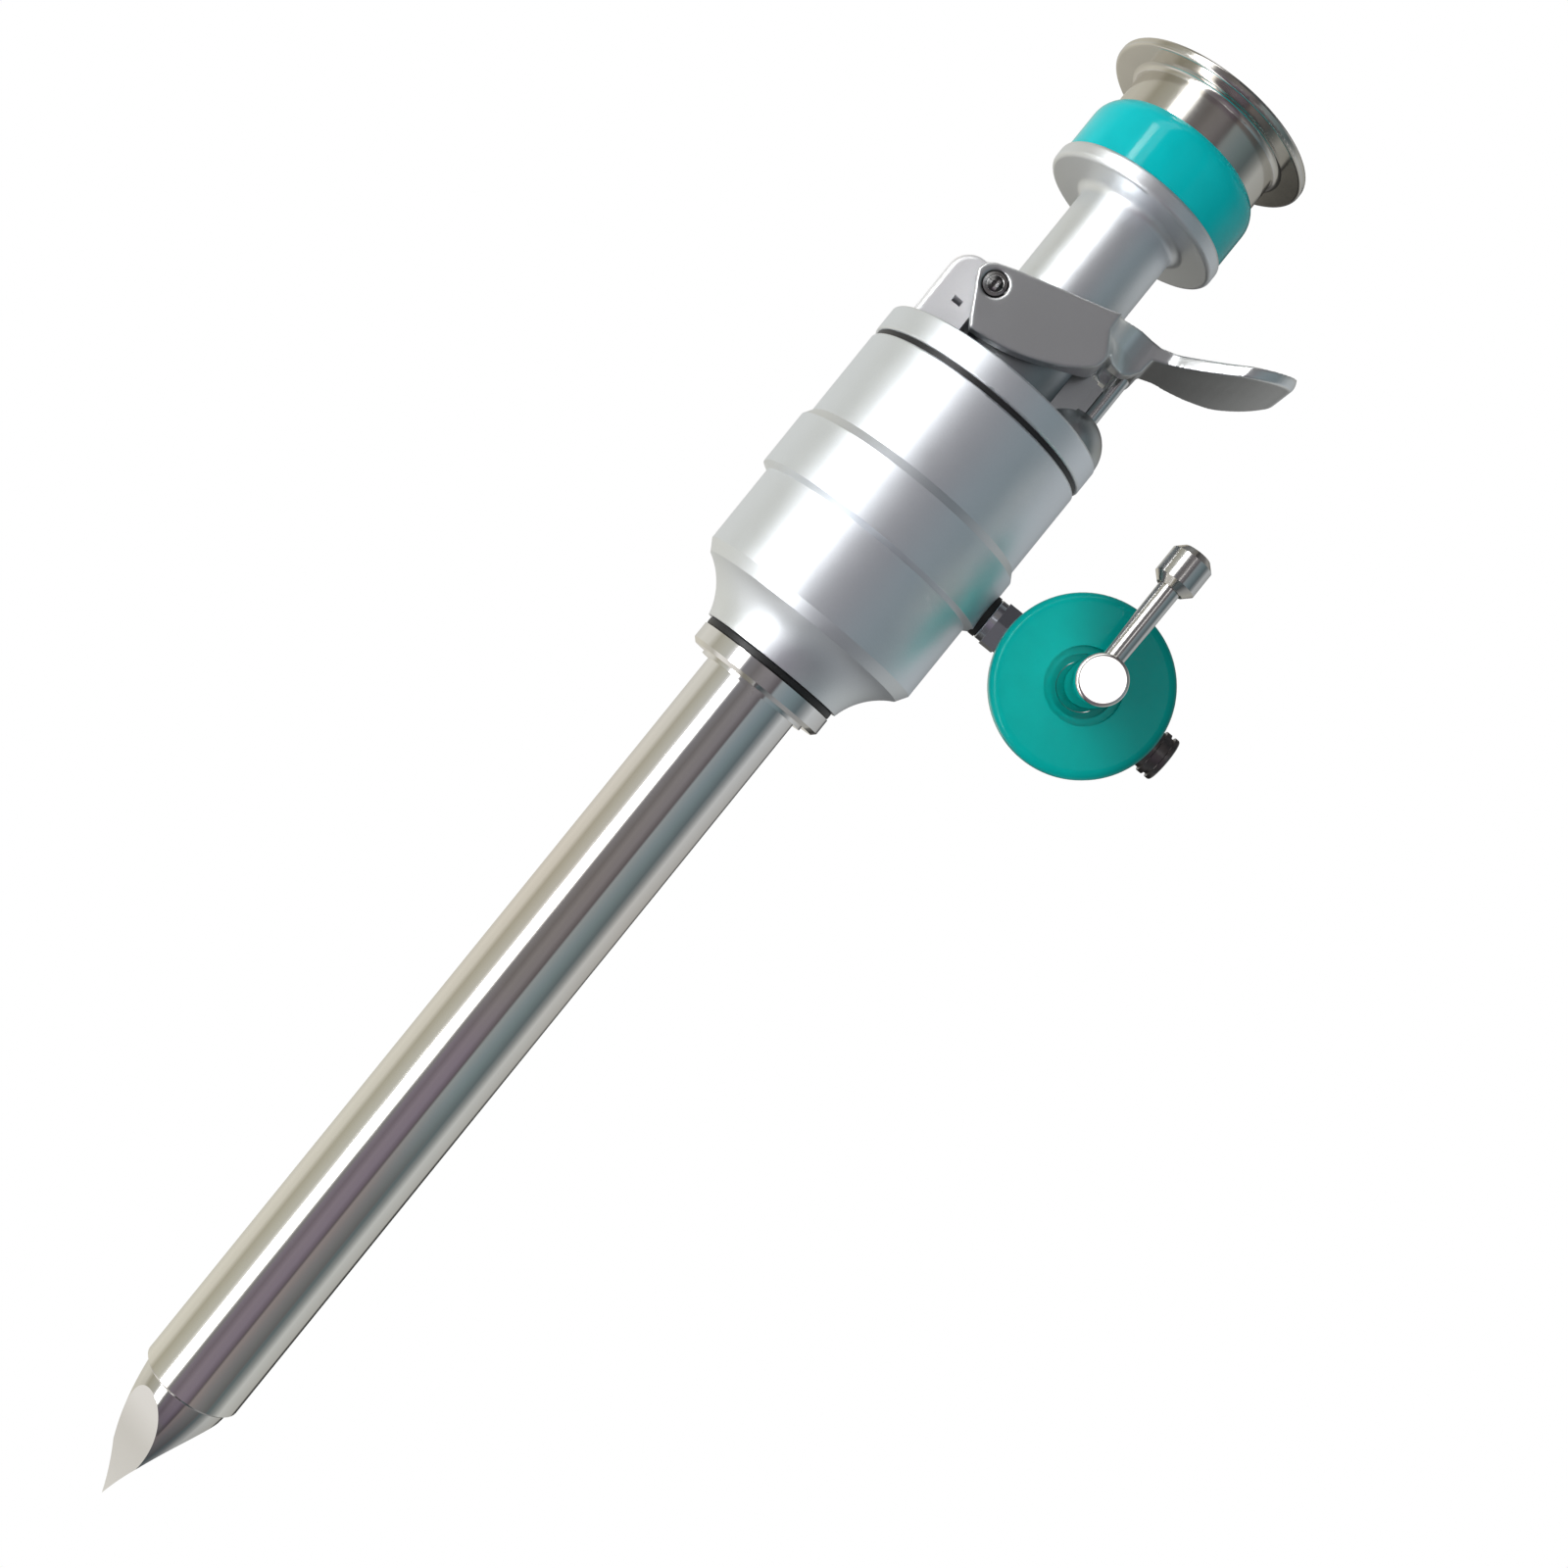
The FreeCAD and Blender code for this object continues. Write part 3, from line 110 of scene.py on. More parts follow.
world = bpy.data.worlds.new("room")
scene.world = world
world.use_nodes = True
room = world.node_tree
room.nodes.clear()
sight = node(room, "ShaderNodeTexCoord").outputs["Generated"]
direction = node(room, "ShaderNodeSeparateXYZ", {"Vector": sight}).outputs
towards_camera = maths(room, "MULTIPLY", direction["Y"], -1)
azimuth = maths(room, "DEGREES", maths(room, "ARCTAN2", direction["X"], towards_camera))
height = maths(room, "DEGREES", maths(room, "ARCSINE", direction["Z"]))


def between(tree, value, low, high, soft):
    """A mask that is 1 between two angles and fades out over a few degrees."""
    rise = node(tree, "ShaderNodeMapRange", {"Value": value, "From Min": low - soft, "From Max": low + soft},
                interpolation_type="SMOOTHSTEP")
    fall = node(tree, "ShaderNodeMapRange", {"Value": value, "From Min": high - soft, "From Max": high + soft,
                                             "To Min": 1, "To Max": 0}, interpolation_type="SMOOTHSTEP")
    return maths(tree, "MULTIPLY", rise.outputs[0], fall.outputs[0])


def tinted(tree, colour, tint):
    """Two colours multiplied."""
    made = node(tree, "ShaderNodeMix", data_type="RGBA", blend_type="MULTIPLY")
    made.inputs[0].default_value = 1.0
    for socket, value in ((made.inputs[6], colour), (made.inputs[7], tint)):
        if isinstance(value, bpy.types.NodeSocket):
            link(tree, value, socket)
        else:
            socket.default_value = (*value, 1)
    return made.outputs[2]


BANDS = [(-180, (.60, .58, .53)), (-150, (.70, .68, .62)), (-128, (.80, .78, .71)), (-104, (.74, .72, .65)),
         (-90, (.47, .45, .37)), (-74, (.54, .53, .46)), (-60, (.60, .60, .55)), (-53, (1.0, 1.0, 1.0)),
         (-32, (1.0, 1.0, 1.0)), (-27, (.25, .245, .26)), (-11, (.18, .168, .17)), (0, (.25, .235, .24)),
         (14, (.235, .22, .235)), (27, (.125, .112, .12)), (31, (.32, .36, .38)), (47, (.24, .30, .33)),
         (60, (.19, .25, .27)), (76, (.13, .165, .18)), (88, (.28, .30, .31)), (104, (.60, .62, .63)),
         (128, (.52, .53, .53)), (150, (.44, .44, .43)), (163, (.12, .12, .12)), (180, (.13, .125, .12))]
turned = maths(room, "ADD", maths(room, "DIVIDE", azimuth, 360), 0.5)
bands = ramp(room, turned, [((angle + 180) / 360, colour) for angle, colour in BANDS])
level = maths(room, "ADD", maths(room, "DIVIDE", height, 180), 0.5)
LEVELS = [(-90, (.45, .45, .46)), (-50, (.62, .62, .63)), (-24, (1.0, 1.0, .95)), (-14, (1.0, 1.0, .96)),
          (-6, (1.0, .97, .93)), (2, (.98, 1.0, 1.02)), (14, (.96, 1.0, 1.05)), (20, (.92, .92, .88)),
          (30, (.82, .80, .74)), (48, (.80, .80, .80)), (60, (.35, .35, .36)), (90, (.30, .30, .31))]
TONE_TOP = 1.25
tone = ramp(room, level, [((angle + 90) / 180, tuple(c / TONE_TOP for c in colour))
                          for angle, colour in LEVELS])
walls = tinted(room, tinted(room, bands, tone), (TONE_TOP, TONE_TOP, TONE_TOP))


def patch(around, sideways, upward):
    """A soft-edged part of the room: low, high and softness in degrees, sideways and upward."""
    return maths(room, "MULTIPLY", between(room, around, *sideways), between(room, height, *upward))


# Low ahead a violet floor cloth with a bench beside it, and low behind, right of the middle, a dark table
# that the flanges mirror. The table lies across the seam at 180 degrees, so its angles go on past it.
past_seam = maths(room, "MODULO", maths(room, "ADD", azimuth, 360), 360)
FURNITURE = [(azimuth, (-22, 26, 3), (-48, -11, 1.5), (1.03, .93, 1.12)),
             (azimuth, (28, 72, 3), (-60, -15, 3), (.95, .74, .72)),
             (past_seam, (150, 184, 2.5), (-60, -12, 5), .34)]
for around, sideways, upward, tint in FURNITURE:
    walls = tinted(room, walls, ramp(room, patch(around, sideways, upward), [(0, 1.0), (1, tint)]))
# The window's bright bar and its halo, a small card and a sheet of paper on the floor to the left.
LAMPS = [((-51, -42.5, .6), (-65, 21.5, .8), 11.0), ((-53, -31, .8), (-75, 70, 6), 1.9),
         ((2.5, 9, .5), (5.5, 11.5, .5), 1.6), ((-125, -55, 5), (-75, -40, 3), 0.45)]
lamps = 0
for sideways, upward, strength in LAMPS:
    lamps = maths(room, "ADD", lamps, maths(room, "MULTIPLY", patch(azimuth, sideways, upward), strength))
lit = node(room, "ShaderNodeMix", data_type="RGBA", blend_type="ADD")
lit.inputs[0].default_value = 1.0
link(room, walls, lit.inputs[6])
link(room, lamps, lit.inputs[7])
# Matt surfaces gather their light from a simpler room, bright on the left and dim on the right.
MATT_BANDS = [(-180, .45), (-120, .85), (-45, 1.0), (0, .62), (45, .24), (100, .13), (180, .40)]
matt_light = ramp(room, turned, [((angle + 180) / 360, value) for angle, value in MATT_BANDS])
light_path = node(room, "ShaderNodeLightPath").outputs
gathered = node(room, "ShaderNodeMix", {"Factor": light_path["Is Glossy Ray"]}, data_type="RGBA")
link(room, matt_light, gathered.inputs[6])
link(room, lit.outputs[2], gathered.inputs[7])
surroundings = node(room, "ShaderNodeBackground", {"Color": gathered.outputs[2], "Strength": 1.0})
backdrop = node(room, "ShaderNodeBackground", {"Color": (1, 1, 1, 1), "Strength": 1.0})
choose = node(room, "ShaderNodeMixShader", {"Fac": light_path["Is Camera Ray"]})
link(room, surroundings.outputs[0], choose.inputs[1])
link(room, backdrop.outputs[0], choose.inputs[2])
link(room, choose.outputs[0], node(room, "ShaderNodeOutputWorld").inputs["Surface"])
world.cycles.sampling_method = "MANUAL"
world.cycles.sample_map_resolution = 2048


# ---------------------------------------------------------------- Cannula tube
# The long steel tube that stays in the body wall. It is drawn and mirror polished, and its turned-down
# top end is soldered into the housing.
def new_group(name, inputs, outputs):
    """A shader node group with named number inputs and named outputs."""
    group = bpy.data.node_groups.new(name, "ShaderNodeTree")
    for label, value in inputs.items():
        socket = group.interface.new_socket(name=label, in_out="INPUT", socket_type="NodeSocketFloat")
        socket.default_value = value
    for label, kind in outputs.items():
        group.interface.new_socket(name=label, in_out="OUTPUT", socket_type=kind)
    return group, group.nodes.new("NodeGroupInput"), group.nodes.new("NodeGroupOutput")


FLOAT, VECTOR = "NodeSocketFloat", "NodeSocketVector"


def polished_group():
    """Mirror polish with hairline scratches round and along the piece, and faint smears."""
    group, given, out = new_group("polished", {"Scratches": 0.04, "Roughness": 0.06},
                                  {"Normal": VECTOR, "Roughness": FLOAT})
    place = node(group, "ShaderNodeTexCoord").outputs["Object"]
    along = node(group, "ShaderNodeMapping", {"Vector": place, "Scale": (2600, 2600, 60)})
    around = node(group, "ShaderNodeMapping", {"Vector": place, "Scale": (90, 90, 4200)})
    streak = node(group, "ShaderNodeTexNoise", {"Vector": along.outputs[0], "Scale": 1, "Detail": 2})
    turn_mark = node(group, "ShaderNodeTexNoise", {"Vector": around.outputs[0], "Scale": 1, "Detail": 2})
    height = maths(group, "ADD", streak.outputs[0], turn_mark.outputs[0])
    bump = node(group, "ShaderNodeBump", {"Height": height, "Strength": given.outputs["Scratches"],
                                          "Distance": 0.00002})
    smear = node(group, "ShaderNodeTexNoise", {"Vector": place, "Scale": 140, "Detail": 5, "Distortion": 0.6})
    film = ramp(group, smear.outputs[0], [(0.45, 0.0), (0.75, 0.07)])
    link(group, bump.outputs[0], out.inputs["Normal"])
    link(group, maths(group, "ADD", given.outputs["Roughness"], film), out.inputs["Roughness"])
    return group


POLISHED = polished_group()


def new_material(name):
    material = bpy.data.materials.new(name)
    material.use_nodes = True
    tree = material.node_tree
    tree.nodes.clear()
    surface = node(tree, "ShaderNodeBsdfPrincipled")
    link(tree, surface.outputs[0], node(tree, "ShaderNodeOutputMaterial").inputs["Surface"])
    return material, tree, surface


def use_group(tree, group, **values):
    made = node(tree, "ShaderNodeGroup", node_tree=group)
    for label, value in values.items():
        made.inputs[label].default_value = value
    return made


def mirror(name, tint, roughness=0.05, scratches=0.04):
    material, tree, surface = new_material(name)
    effect = use_group(tree, POLISHED, Roughness=roughness, Scratches=scratches)
    surface.inputs["Metallic"].default_value = 1.0
    surface.inputs["Base Color"].default_value = (*tint, 1)
    link(tree, effect.outputs["Roughness"], surface.inputs["Roughness"])
    link(tree, effect.outputs["Normal"], surface.inputs["Normal"])
    return material


def dress(name, material):
    """Give a CAD node its material and smooth shading across its gentle edges."""
    mesh = nodes[name].data
    mesh.materials.clear()
    mesh.materials.append(material)
    mesh.shade_smooth()
    mesh.set_sharp_from_angle(angle=math.radians(28))


polished_steel = mirror("polished_steel", (.78, .76, .74))
dress("cannula_tube", polished_steel)


# ---------------------------------------------------------------- Collar and its seal
# A turned and polished ring that covers the soldered joint, with a thin dark seal above it.
def plastic(name, colour, roughness, specular=0.5, bump=0.02):
    material, tree, surface = new_material(name)
    place = node(tree, "ShaderNodeTexCoord").outputs["Object"]
    cloud = node(tree, "ShaderNodeTexNoise", {"Vector": place, "Scale": 260, "Detail": 4})
    skin = node(tree, "ShaderNodeTexNoise", {"Vector": place, "Scale": 2200, "Detail": 2})
    darker = tuple(c * 0.93 for c in colour)
    link(tree, ramp(tree, cloud.outputs[0], [(0.35, darker), (0.65, colour)]), surface.inputs["Base Color"])
    link(tree, maths(tree, "ADD", roughness, maths(tree, "MULTIPLY", cloud.outputs[0], 0.04)),
         surface.inputs["Roughness"])
    link(tree, node(tree, "ShaderNodeBump", {"Height": skin.outputs[0], "Strength": bump,
                                             "Distance": 0.0001}).outputs[0], surface.inputs["Normal"])
    surface.inputs["Specular IOR Level"].default_value = specular
    return material


black_seal = plastic("black_seal", (.012, .012, .013), 0.45)
dress("collar_ring", polished_steel)
dress("collar_seal", black_seal)


# ---------------------------------------------------------------- Housing body
# The valve chamber, turned from one bar of steel and bead blasted to a soft satin grey.
def blasted_group():
    """Bead-blasted metal: a fine grain of tiny dents, and soft patches of handling."""
    group, given, out = new_group("blasted", {"Grain": 5000, "Depth": 0.12, "Roughness": 0.38},
                                  {"Normal": VECTOR, "Roughness": FLOAT, "Shade": FLOAT})
    place = node(group, "ShaderNodeTexCoord").outputs["Object"]
    grain = node(group, "ShaderNodeTexNoise", {"Vector": place, "Scale": given.outputs["Grain"], "Detail": 3})
    bump = node(group, "ShaderNodeBump", {"Height": grain.outputs[0], "Strength": given.outputs["Depth"],
                                          "Distance": 0.0001})
    patches = node(group, "ShaderNodeTexNoise", {"Vector": place, "Scale": 90, "Detail": 4, "Roughness": 0.6})
    spread = maths(group, "MULTIPLY", maths(group, "SUBTRACT", patches.outputs[0], 0.5), 0.16)
    speckle = maths(group, "MULTIPLY", maths(group, "SUBTRACT", grain.outputs[0], 0.5), 0.10)
    link(group, bump.outputs[0], out.inputs["Normal"])
    link(group, maths(group, "ADD", maths(group, "ADD", given.outputs["Roughness"], spread), speckle),
         out.inputs["Roughness"])
    link(group, maths(group, "ADD", maths(group, "MULTIPLY", speckle, 0.6), 1.0), out.inputs["Shade"])
    return group


BLASTED = blasted_group()


def satin(name, tint, roughness, depth=0.12, grain=5000, metallic=1.0):
    material, tree, surface = new_material(name)
    effect = use_group(tree, BLASTED, Roughness=roughness, Depth=depth, Grain=grain)
    surface.inputs["Metallic"].default_value = metallic
    link(tree, tinted(tree, tint, effect.outputs["Shade"]), surface.inputs["Base Color"])
    link(tree, effect.outputs["Roughness"], surface.inputs["Roughness"])
    link(tree, effect.outputs["Normal"], surface.inputs["Normal"])
    return material


satin_steel = satin("satin_steel", (.80, .83, .87), 0.46)
dress("housing_body", satin_steel)


# ---------------------------------------------------------------- Cap, its seal and the neck
# The cap screws into the chamber on a flat seal. The neck is soldered into it and ends in a flange.
# Both have the same blasted finish as the housing.
def place_in(tree):
    """The X, Y and Z of a point in the piece's own coordinates."""
    place = node(tree, "ShaderNodeTexCoord").outputs["Object"]
    return node(tree, "ShaderNodeSeparateXYZ", {"Vector": place}).outputs


def fade(tree, value, start, end, low=0.0, high=1.0):
    """A soft step from low to high between two values."""
    return node(tree, "ShaderNodeMapRange", {"Value": value, "From Min": start, "From Max": end, "To Min": low,
                                             "To Max": high}, interpolation_type="SMOOTHSTEP").outputs[0]


def shade(material, factor):
    """Multiply a material's colour by a value from its own node tree."""
    tree = material.node_tree
    socket = next(n for n in tree.nodes if n.type == "BSDF_PRINCIPLED").inputs["Base Color"]
    link(tree, tinted(tree, socket.links[0].from_socket, factor), socket)
    return material


dress("cap_seal", black_seal)
dress("housing_cap", satin_steel)
# The neck's foot is darkened to match the shade that the photograph shows between the cheeks.
FOOT, FOOT_END, FOOT_SHADE = 44 * MM, 50 * MM, 0.42
neck_steel = satin("neck_steel", (.79, .815, .845), 0.44)
tree = neck_steel.node_tree
shade(neck_steel, fade(tree, place_in(tree)["Z"], FOOT, FOOT_END, FOOT_SHADE, 1.0))
dress("neck_spool", neck_steel)


# ---------------------------------------------------------------- Seal cap
# A moulded ring of teal rubber, glossy from its mould, pushed over the neck's spigot.
teal_plastic = plastic("teal_plastic", (.001, .72, .76), 0.06, specular=0.2)
dress("seal_cap", teal_plastic)


# ---------------------------------------------------------------- Hinge block, its screws and springs
# A blasted block with rounded edges beside the neck. Two screws with dished heads, darkened by painted shade
# and with a painted crescent highlight, hold the lever, and a coil spring of bright wire round each lifts it.
PIVOT = (-6.4, 47.7)
SCREW_HEAD = 1.28
# The block's steel is a lighter, half matt copy of the satin steel: painted light.
block_steel = satin("block_steel", (.93, .93, .95), 0.5, metallic=0.5)
dress("hinge_block", block_steel)


def dished_heads():
    """Screw heads in painted shade, darkest in the hollow, lighter on the chamfer, with a painted crescent
    highlight.
    """
    material, tree, surface = new_material("dished_heads")
    place = node(tree, "ShaderNodeTexCoord").outputs["Object"]
    across = maths(tree, "SUBTRACT", place_in(tree)["X"], PIVOT[0] * MM)
    up = maths(tree, "SUBTRACT", place_in(tree)["Z"], PIVOT[1] * MM)
    squares = maths(tree, "ADD", maths(tree, "MULTIPLY", across, across), maths(tree, "MULTIPLY", up, up))
    out = maths(tree, "DIVIDE", maths(tree, "SQRT", squares), SCREW_HEAD * MM)
    grain = node(tree, "ShaderNodeTexNoise", {"Vector": place, "Scale": 3000, "Detail": 3})
    # The heads' colour is painted shade, darkest in the hollow and lighter on the chamfer.
    rim = ramp(tree, out, [(0.0, .16), (0.62, .07), (0.72, .30), (0.92, .42), (1.0, .12)])
    # A painted crescent highlight in the hollow, added to the colour.
    painted_crescent_highlight = maths(tree, "MULTIPLY", between(tree, across, 0.05 * MM, 0.42 * MM, 0.06 * MM),
                  between(tree, up, -0.5 * MM, 0.5 * MM, 0.2 * MM))
    rim = maths(tree, "ADD", rim, maths(tree, "MULTIPLY", painted_crescent_highlight, 0.8))
    dish = ramp(tree, out, [(0.0, .55), (0.30, .9), (0.55, .35), (0.68, .0), (0.72, .6), (1.0, .2)])
    height = maths(tree, "ADD", dish, maths(tree, "MULTIPLY", grain.outputs[0], 0.012))
    bump = node(tree, "ShaderNodeBump", {"Height": height, "Strength": 0.4, "Distance": 0.0005})
    surface.inputs["Metallic"].default_value = 1.0
    surface.inputs["Roughness"].default_value = 0.2
    link(tree, rim, surface.inputs["Base Color"])
    link(tree, bump.outputs[0], surface.inputs["Normal"])
    return material


spring_steel = mirror("spring_steel", (.5, .5, .5), roughness=0.25)
dress("hinge_screws", dished_heads())
dress("lever_springs", spring_steel)


# ---------------------------------------------------------------- Thumb lever
# One steel casting, blasted darker than the housing: two cheeks straddle the neck, hollow fillets lead
# to a narrow waist, and the arm widens to a thumb paddle. Its edges are rounded by tumbling.
def shape(name, levels):
    """A closed mesh through outlines with equal numbers of corners, given level by level in mm."""
    form = bmesh.new()
    rows = [[form.verts.new([c * MM for c in corner]) for corner in level] for level in levels]
    for low, high in zip(rows, rows[1:]):
        for i in range(len(low)):
            j = (i + 1) % len(low)
            form.faces.new((low[i], low[j], high[j]))
            form.faces.new((low[i], high[j], high[i]))
    form.faces.new(rows[0])
    form.faces.new(rows[-1])
    bmesh.ops.triangulate(form, faces=[face for face in form.faces if len(face.verts) > 4])
    bmesh.ops.recalc_face_normals(form, faces=form.faces)
    mesh = bpy.data.meshes.new(name)
    form.to_mesh(mesh)
    form.free()
    made = bpy.data.objects.new(name, mesh)
    scene.collection.objects.link(made)
    return made


def sideways(outline, half_width):
    """Two levels of an outline of (x, z) corners, half a width to each side of the middle."""
    return [[(x, y, z) for x, z in outline] for y in (-half_width, half_width)]


def upright(outline, low, high):
    """Two levels of an outline of (x, y) corners, from low to high."""
    return [[(x, y, z) for x, y in outline] for z in (low, high)]


def bow(start, end, radius, steps=12):
    """Corners along an arc that bulges to the left of its way for a positive radius, without its end."""
    a, b = Vector(start), Vector(end)
    half = (b - a).length / 2
    left = Vector((a.y - b.y, b.x - a.x)).normalized()
    centre = (a + b) / 2 - left * math.copysign(math.sqrt(radius * radius - half * half), radius)
    sweep = -2 * math.copysign(math.asin(half / abs(radius)), radius)
    spoke = a - centre
    return [tuple(centre + Matrix.Rotation(sweep * i / steps, 2) @ spoke) for i in range(steps)]


def disc(x, z, radius, count=48):
    """Corners of a circle."""
    turns = [2 * math.pi * i / count for i in range(count)]
    return [(x + radius * math.cos(turn), z + radius * math.sin(turn)) for turn in turns]


def carve(target, tools):
    """Cut meshes out of another, then drop them."""
    for tool in tools:
        change = target.modifiers.new(tool.name, "BOOLEAN")
        change.operation = "DIFFERENCE"
        change.solver = "EXACT"
        change.object = tool
    bpy.context.view_layer.update()
    ready = bpy.data.meshes.new_from_object(target.evaluated_get(bpy.context.evaluated_depsgraph_get()))
    target.modifiers.clear()
    target.data = ready
    for tool in tools:
        bpy.data.objects.remove(tool)


# Half widths of the cheeks, the waist and the paddle, all in mm, and how far the cutters reach past them
CHEEK, WAIST, PADDLE = 8.6, 4.5, 8.5
BEYOND = 12
# The lever seen from the side: the cheek's rear end and top, the waist, the paddle's two faces, then the
# forked nose over the push rod and the cheek's bowed lower edge.
REAR_AND_TOP = [(-8.75, 47.9), (-8.45, 48.9), (-7.6, 49.5), (-5.2, 50.35), (4.2, 53.0), (5.4, 53.4),
                (7.2, 54.2), (8.2, 54.45)]
NOSE = [(11.0, 52.9), (10.9, 51.3), (10.2, 50.1), (9.5, 49.6), (7.9, 49.6), (7.2, 50.1), (7.2, 48.6),
        (6.9, 47.6), (5.9, 46.6)]
side_view = (REAR_AND_TOP + bow((10.9, 54.5), (23.9, 60.55), -40) + bow((23.9, 60.55), (23.9, 59.15), 0.75)
             + bow((23.9, 59.15), (11.3, 53.1), 40) + NOSE
             + bow((5.9, 46.6), (-4.9, 42.7), 21) + [(-5.6, 42.6), (-6.3, 43.6)])
thumb_lever = shape("lever_casting", sideways(side_view, CHEEK))
# The hollow fillet from cheek to waist starts at the cheek's end, further forward the lower it is.
CHEEK_END, FILLET = 5.4, 5.5
CHEEK_SLANT = ((46.0, 3.6), (49.1, 1.8), (51.5, 0.3), (58.0, 0.0))
FILLET_STEPS = 10
HEAD_ROOM = ((8.0, 1.34), (8.38, 1.34), (9.0, 1.96))
tools = []
for side in (1, -1):
    levels = []
    for z, shift in CHEEK_SLANT:
        level = [(CHEEK_END + shift, side * BEYOND, z), (CHEEK_END + shift, side * (CHEEK + 0.01), z)]
        for i in range(1, FILLET_STEPS + 1):
            turn = math.pi / 2 / FILLET_STEPS * i
            x = CHEEK_END + FILLET * (1 - math.cos(turn))
            level.append((x + shift * math.cos(turn), side * (CHEEK - (CHEEK - WAIST) * math.sin(turn)), z))
        levels.append(level + [(12.5, side * (WAIST + 0.05), z), (12.5, side * BEYOND, z)])
    tools.append(shape(f"fillet_{side}", levels))
    plan = ([(12.4, BEYOND), (12.4, WAIST + 0.06)] + bow((13.0, WAIST + 0.3), (19.4, PADDLE - 0.1), 30, 6)
            + bow((19.4, PADDLE - 0.1), (24.2, 4.6), 5.5) + bow((24.2, 4.6), (24.7, 0.0), 14, 6)
            + [(24.7, 0.0), (30, 0.0), (30, BEYOND)])
    tools.append(shape(f"paddle_side_{side}", upright([(x, side * y) for x, y in plan], 50, 64)))
    tools.append(shape(f"head_room_{side}", [[(x, side * y, z) for x, z in disc(*PIVOT, radius)]
                                             for y, radius in HEAD_ROOM]))
# The gap between the cheeks ends in front of the neck in a rounded bridge.
GAP, GAP_ROUND, ROUND_START, ROUND_STEPS = 6.6, 5.5, 1.4, 12
ROUND_MIDDLE = GAP - GAP_ROUND
round_turns = [math.pi / 2 / ROUND_STEPS * i for i in range(1, ROUND_STEPS)]
near_round = [(ROUND_START + GAP_ROUND * math.sin(turn), -ROUND_MIDDLE - GAP_ROUND * math.cos(turn))
              for turn in round_turns]
far_side = [(x, -y) for x, y in reversed([(ROUND_START, -GAP)] + near_round)]
yoke = [(-10, -GAP), (ROUND_START, -GAP)] + near_round + [(6.9, -1.1)] + far_side + [(-10, GAP)]
tools.append(shape("yoke_gap", upright(yoke, 40, 60)))
# Room for the stop post, for the rod between the nose's two prongs, and for the screws' shoulders
tools.append(shape("post_room", sideways([(0, 40), (7.4, 40), (7.4, 51), (0, 51)], 3.1)))
tools.append(shape("rod_room", sideways([(6.5, 44), (12, 44), (12, 51), (6.5, 51)], 2.7)))
tools.append(shape("pivot_hole", sideways(disc(*PIVOT, 0.96), BEYOND)))
carve(thumb_lever, tools)
even = thumb_lever.modifiers.new("even_mesh", "REMESH")
even.mode = "VOXEL"
even.voxel_size = 0.15 * MM
even.use_smooth_shade = True
tumbled = thumb_lever.modifiers.new("tumbled_edges", "SMOOTH")
tumbled.factor = 0.5
tumbled.iterations = 8
lever_steel = satin("lever_steel", (.545, .555, .565), 0.38)
# The fillets and the paddle's end are lightened to match the light on them in the photograph.
FILLET_LIGHT = (5.7 * MM, 8.2 * MM, 0.5 * MM)
SLANT_TOP, SLANT = 51.5 * MM, 0.6
tree = lever_steel.node_tree
here = place_in(tree)
below_top = maths(tree, "SUBTRACT", maths(tree, "MINIMUM", here["Z"], SLANT_TOP), SLANT_TOP)
along = maths(tree, "ADD", here["X"], maths(tree, "MULTIPLY", below_top, SLANT))
lightened = maths(tree, "MULTIPLY", between(tree, along, *FILLET_LIGHT), 0.8)
shade(lever_steel, maths(tree, "ADD", fade(tree, here["X"], 12 * MM, 24 * MM, 1.0, 1.45), lightened))
thumb_lever.data.materials.append(lever_steel)
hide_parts("thumb_lever")
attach(thumb_lever, "lever")


# ---------------------------------------------------------------- Rod guide, push rod and its spring
# A domed boss and stop post on the cap guide a turned rod, which a wire spring lifts. The lever's waist
# presses it down to open the flap. The guide's steel is darkened to match its shade in the photograph.
inner_steel = mirror("inner_steel", (.62, .61, .60), roughness=0.2)
dress("rod_guide", satin("guide_steel", (.50, .52, .53), 0.35))
dress("push_rod", inner_steel)
dress("rod_spring", spring_steel)
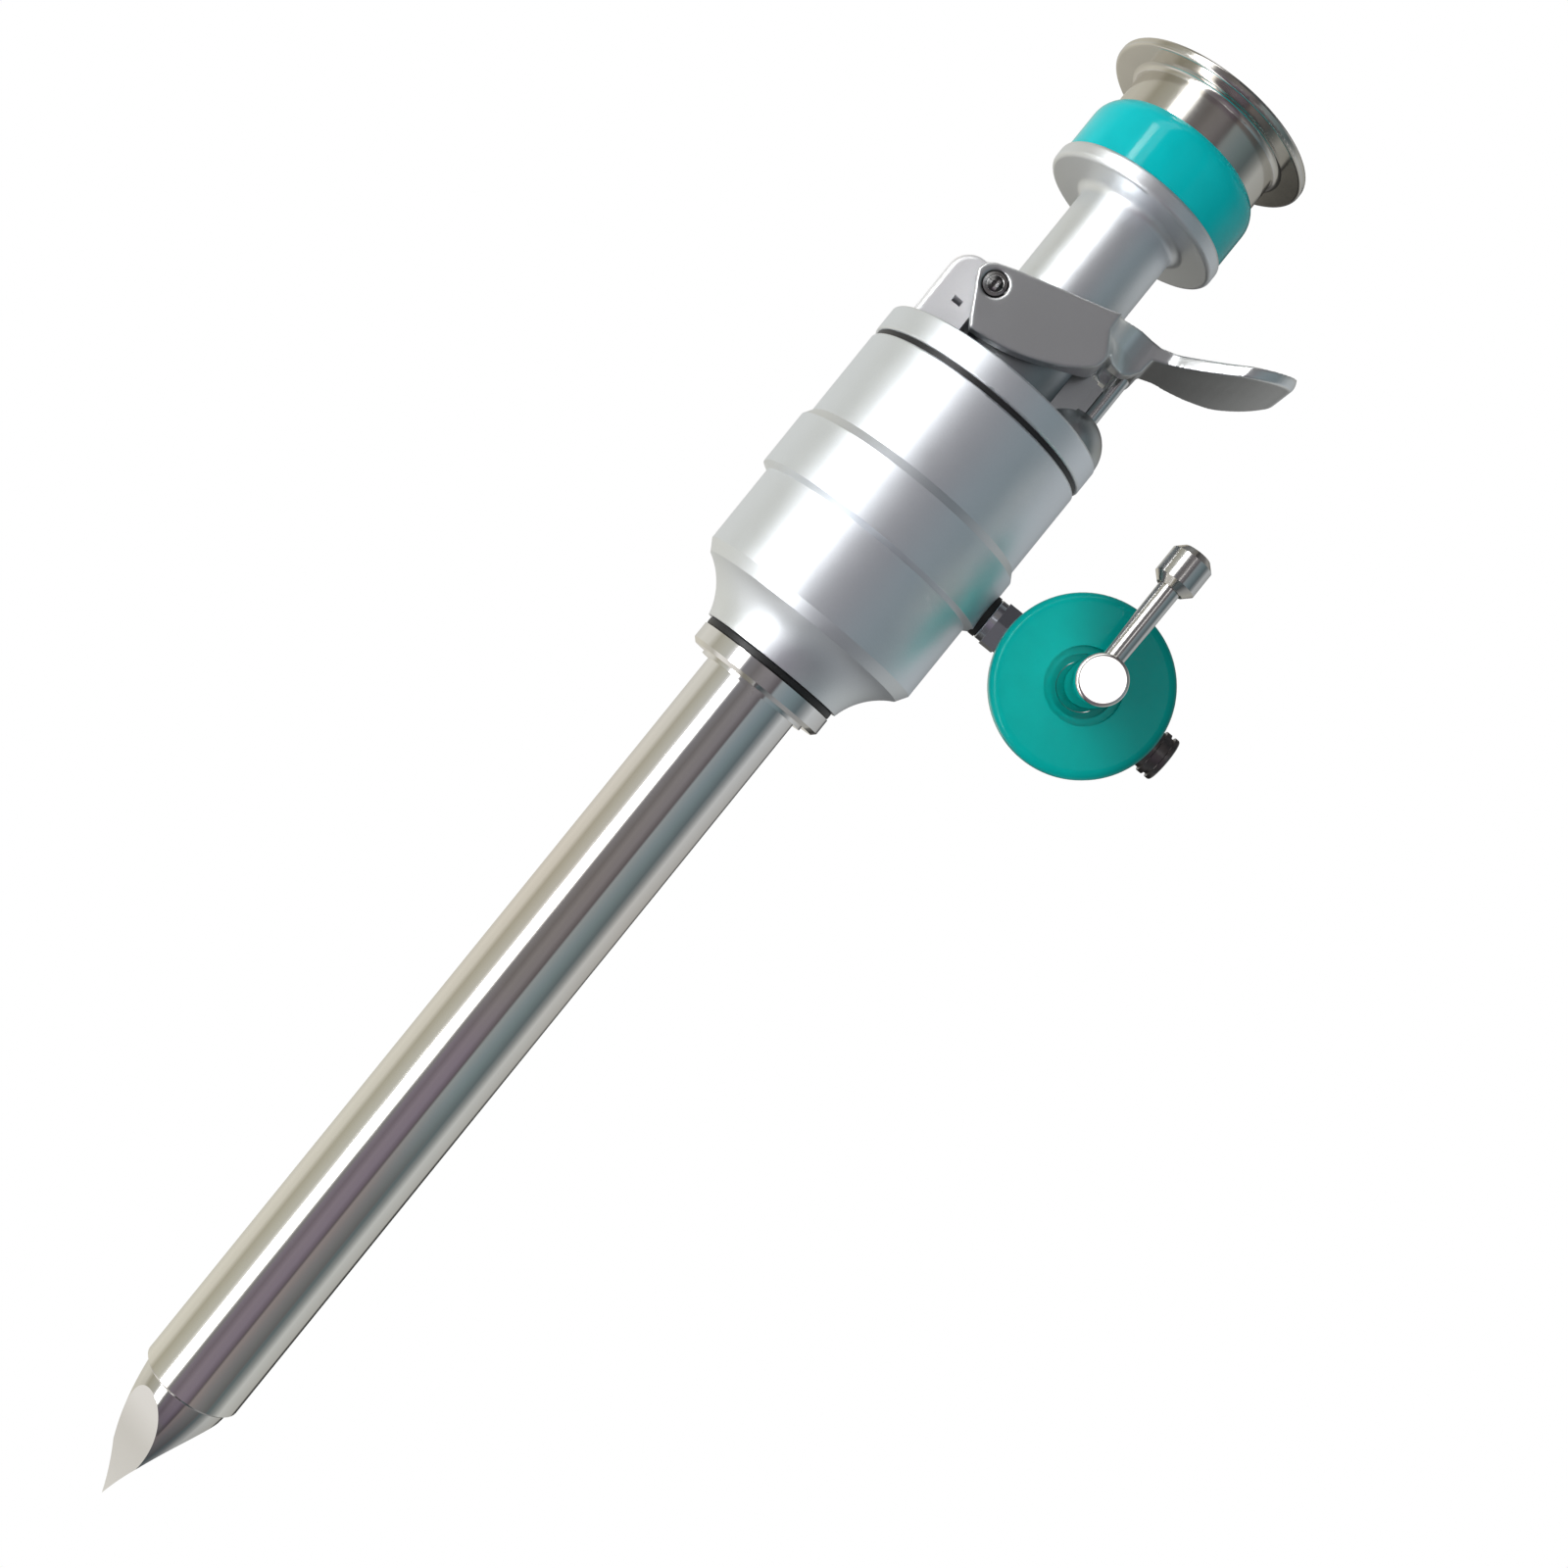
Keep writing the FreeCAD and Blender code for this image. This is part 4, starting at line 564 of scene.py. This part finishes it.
# A copy of the spring's mesh stands in its place, with its placing baked into the mesh.
squeezed_spring = bpy.data.objects.new("squeezed_spring", nodes["rod_spring"].data.copy())
scene.collection.objects.link(squeezed_spring)
squeezed_spring.matrix_world = nodes["rod_spring"].matrix_world
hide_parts("rod_spring")
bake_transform(squeezed_spring)


# ---------------------------------------------------------------- Flap valve
# Inside the chamber: a plate that hangs on an axle between two ears and shuts against a pale rubber
# seat when the shaft is drawn out. Two wire springs close it.
pale_seal = plastic("pale_seal", (.6, .6, .56), 0.5)
dress("valve_seat", pale_seal)
for name in ("flap_bracket", "flap_axle", "flap"):
    dress(name, inner_steel)
dress("flap_springs", spring_steel)


# ---------------------------------------------------------------- Stopcock body and hose connector
# The gas inlet's stem screws into the housing on a dark washer. Its steel is grey, and the dark
# connector for the hose is soldered on.
stem_steel = mirror("stem_steel", (.60, .63, .68), roughness=0.14)
dark_fitting = mirror("dark_fitting", (.16, .15, .15), roughness=0.3)
dress("stem_washer", black_seal)
dress("stopcock_body", stem_steel)
dress("luer_connector", dark_fitting)


# ---------------------------------------------------------------- Stopcock plug, disc, washer and nut
# The tapered plug turns in the body and is held by a nut at the back. Its polished hub carries a
# moulded teal disc, stepped down round the hub.
dress("stopcock_plug", polished_steel)
disc_plastic = plastic("teal_disc", (.001, .56, .51), 0.12, specular=0.1)
# The disc is lighter at its lower left than at its upper right, to match the light in the photograph.
tree = disc_plastic.node_tree
here = place_in(tree)
shade(disc_plastic, fade(tree, maths(tree, "ADD", here["X"], here["Z"]), 44 * MM, 58 * MM, 1.08, 0.55))
dress("stopcock_disc", disc_plastic)
dress("plug_washer", inner_steel)
dress("plug_nut", polished_steel)


# ---------------------------------------------------------------- Handle
# A slim polished rod screwed into the hub, with a bevelled knob to turn the plug by.
handle_steel = mirror("handle_steel", (.62, .60, .57), roughness=0.14, scratches=0.002)
dress("handle_rod", handle_steel)
dress("handle_knob", handle_steel)


# ---------------------------------------------------------------- Obturator
# The solid rod that fills the cannula while it goes in. Its point is ground to three hollow facets, and
# its polished spool head rests on the seal cap.
head_steel = mirror("head_steel", (.62, .60, .57), roughness=0.14, scratches=0.02)
dress("obturator_shaft", polished_steel)
dress("obturator_head", head_steel)
dress("obturator_tip", polished_steel)
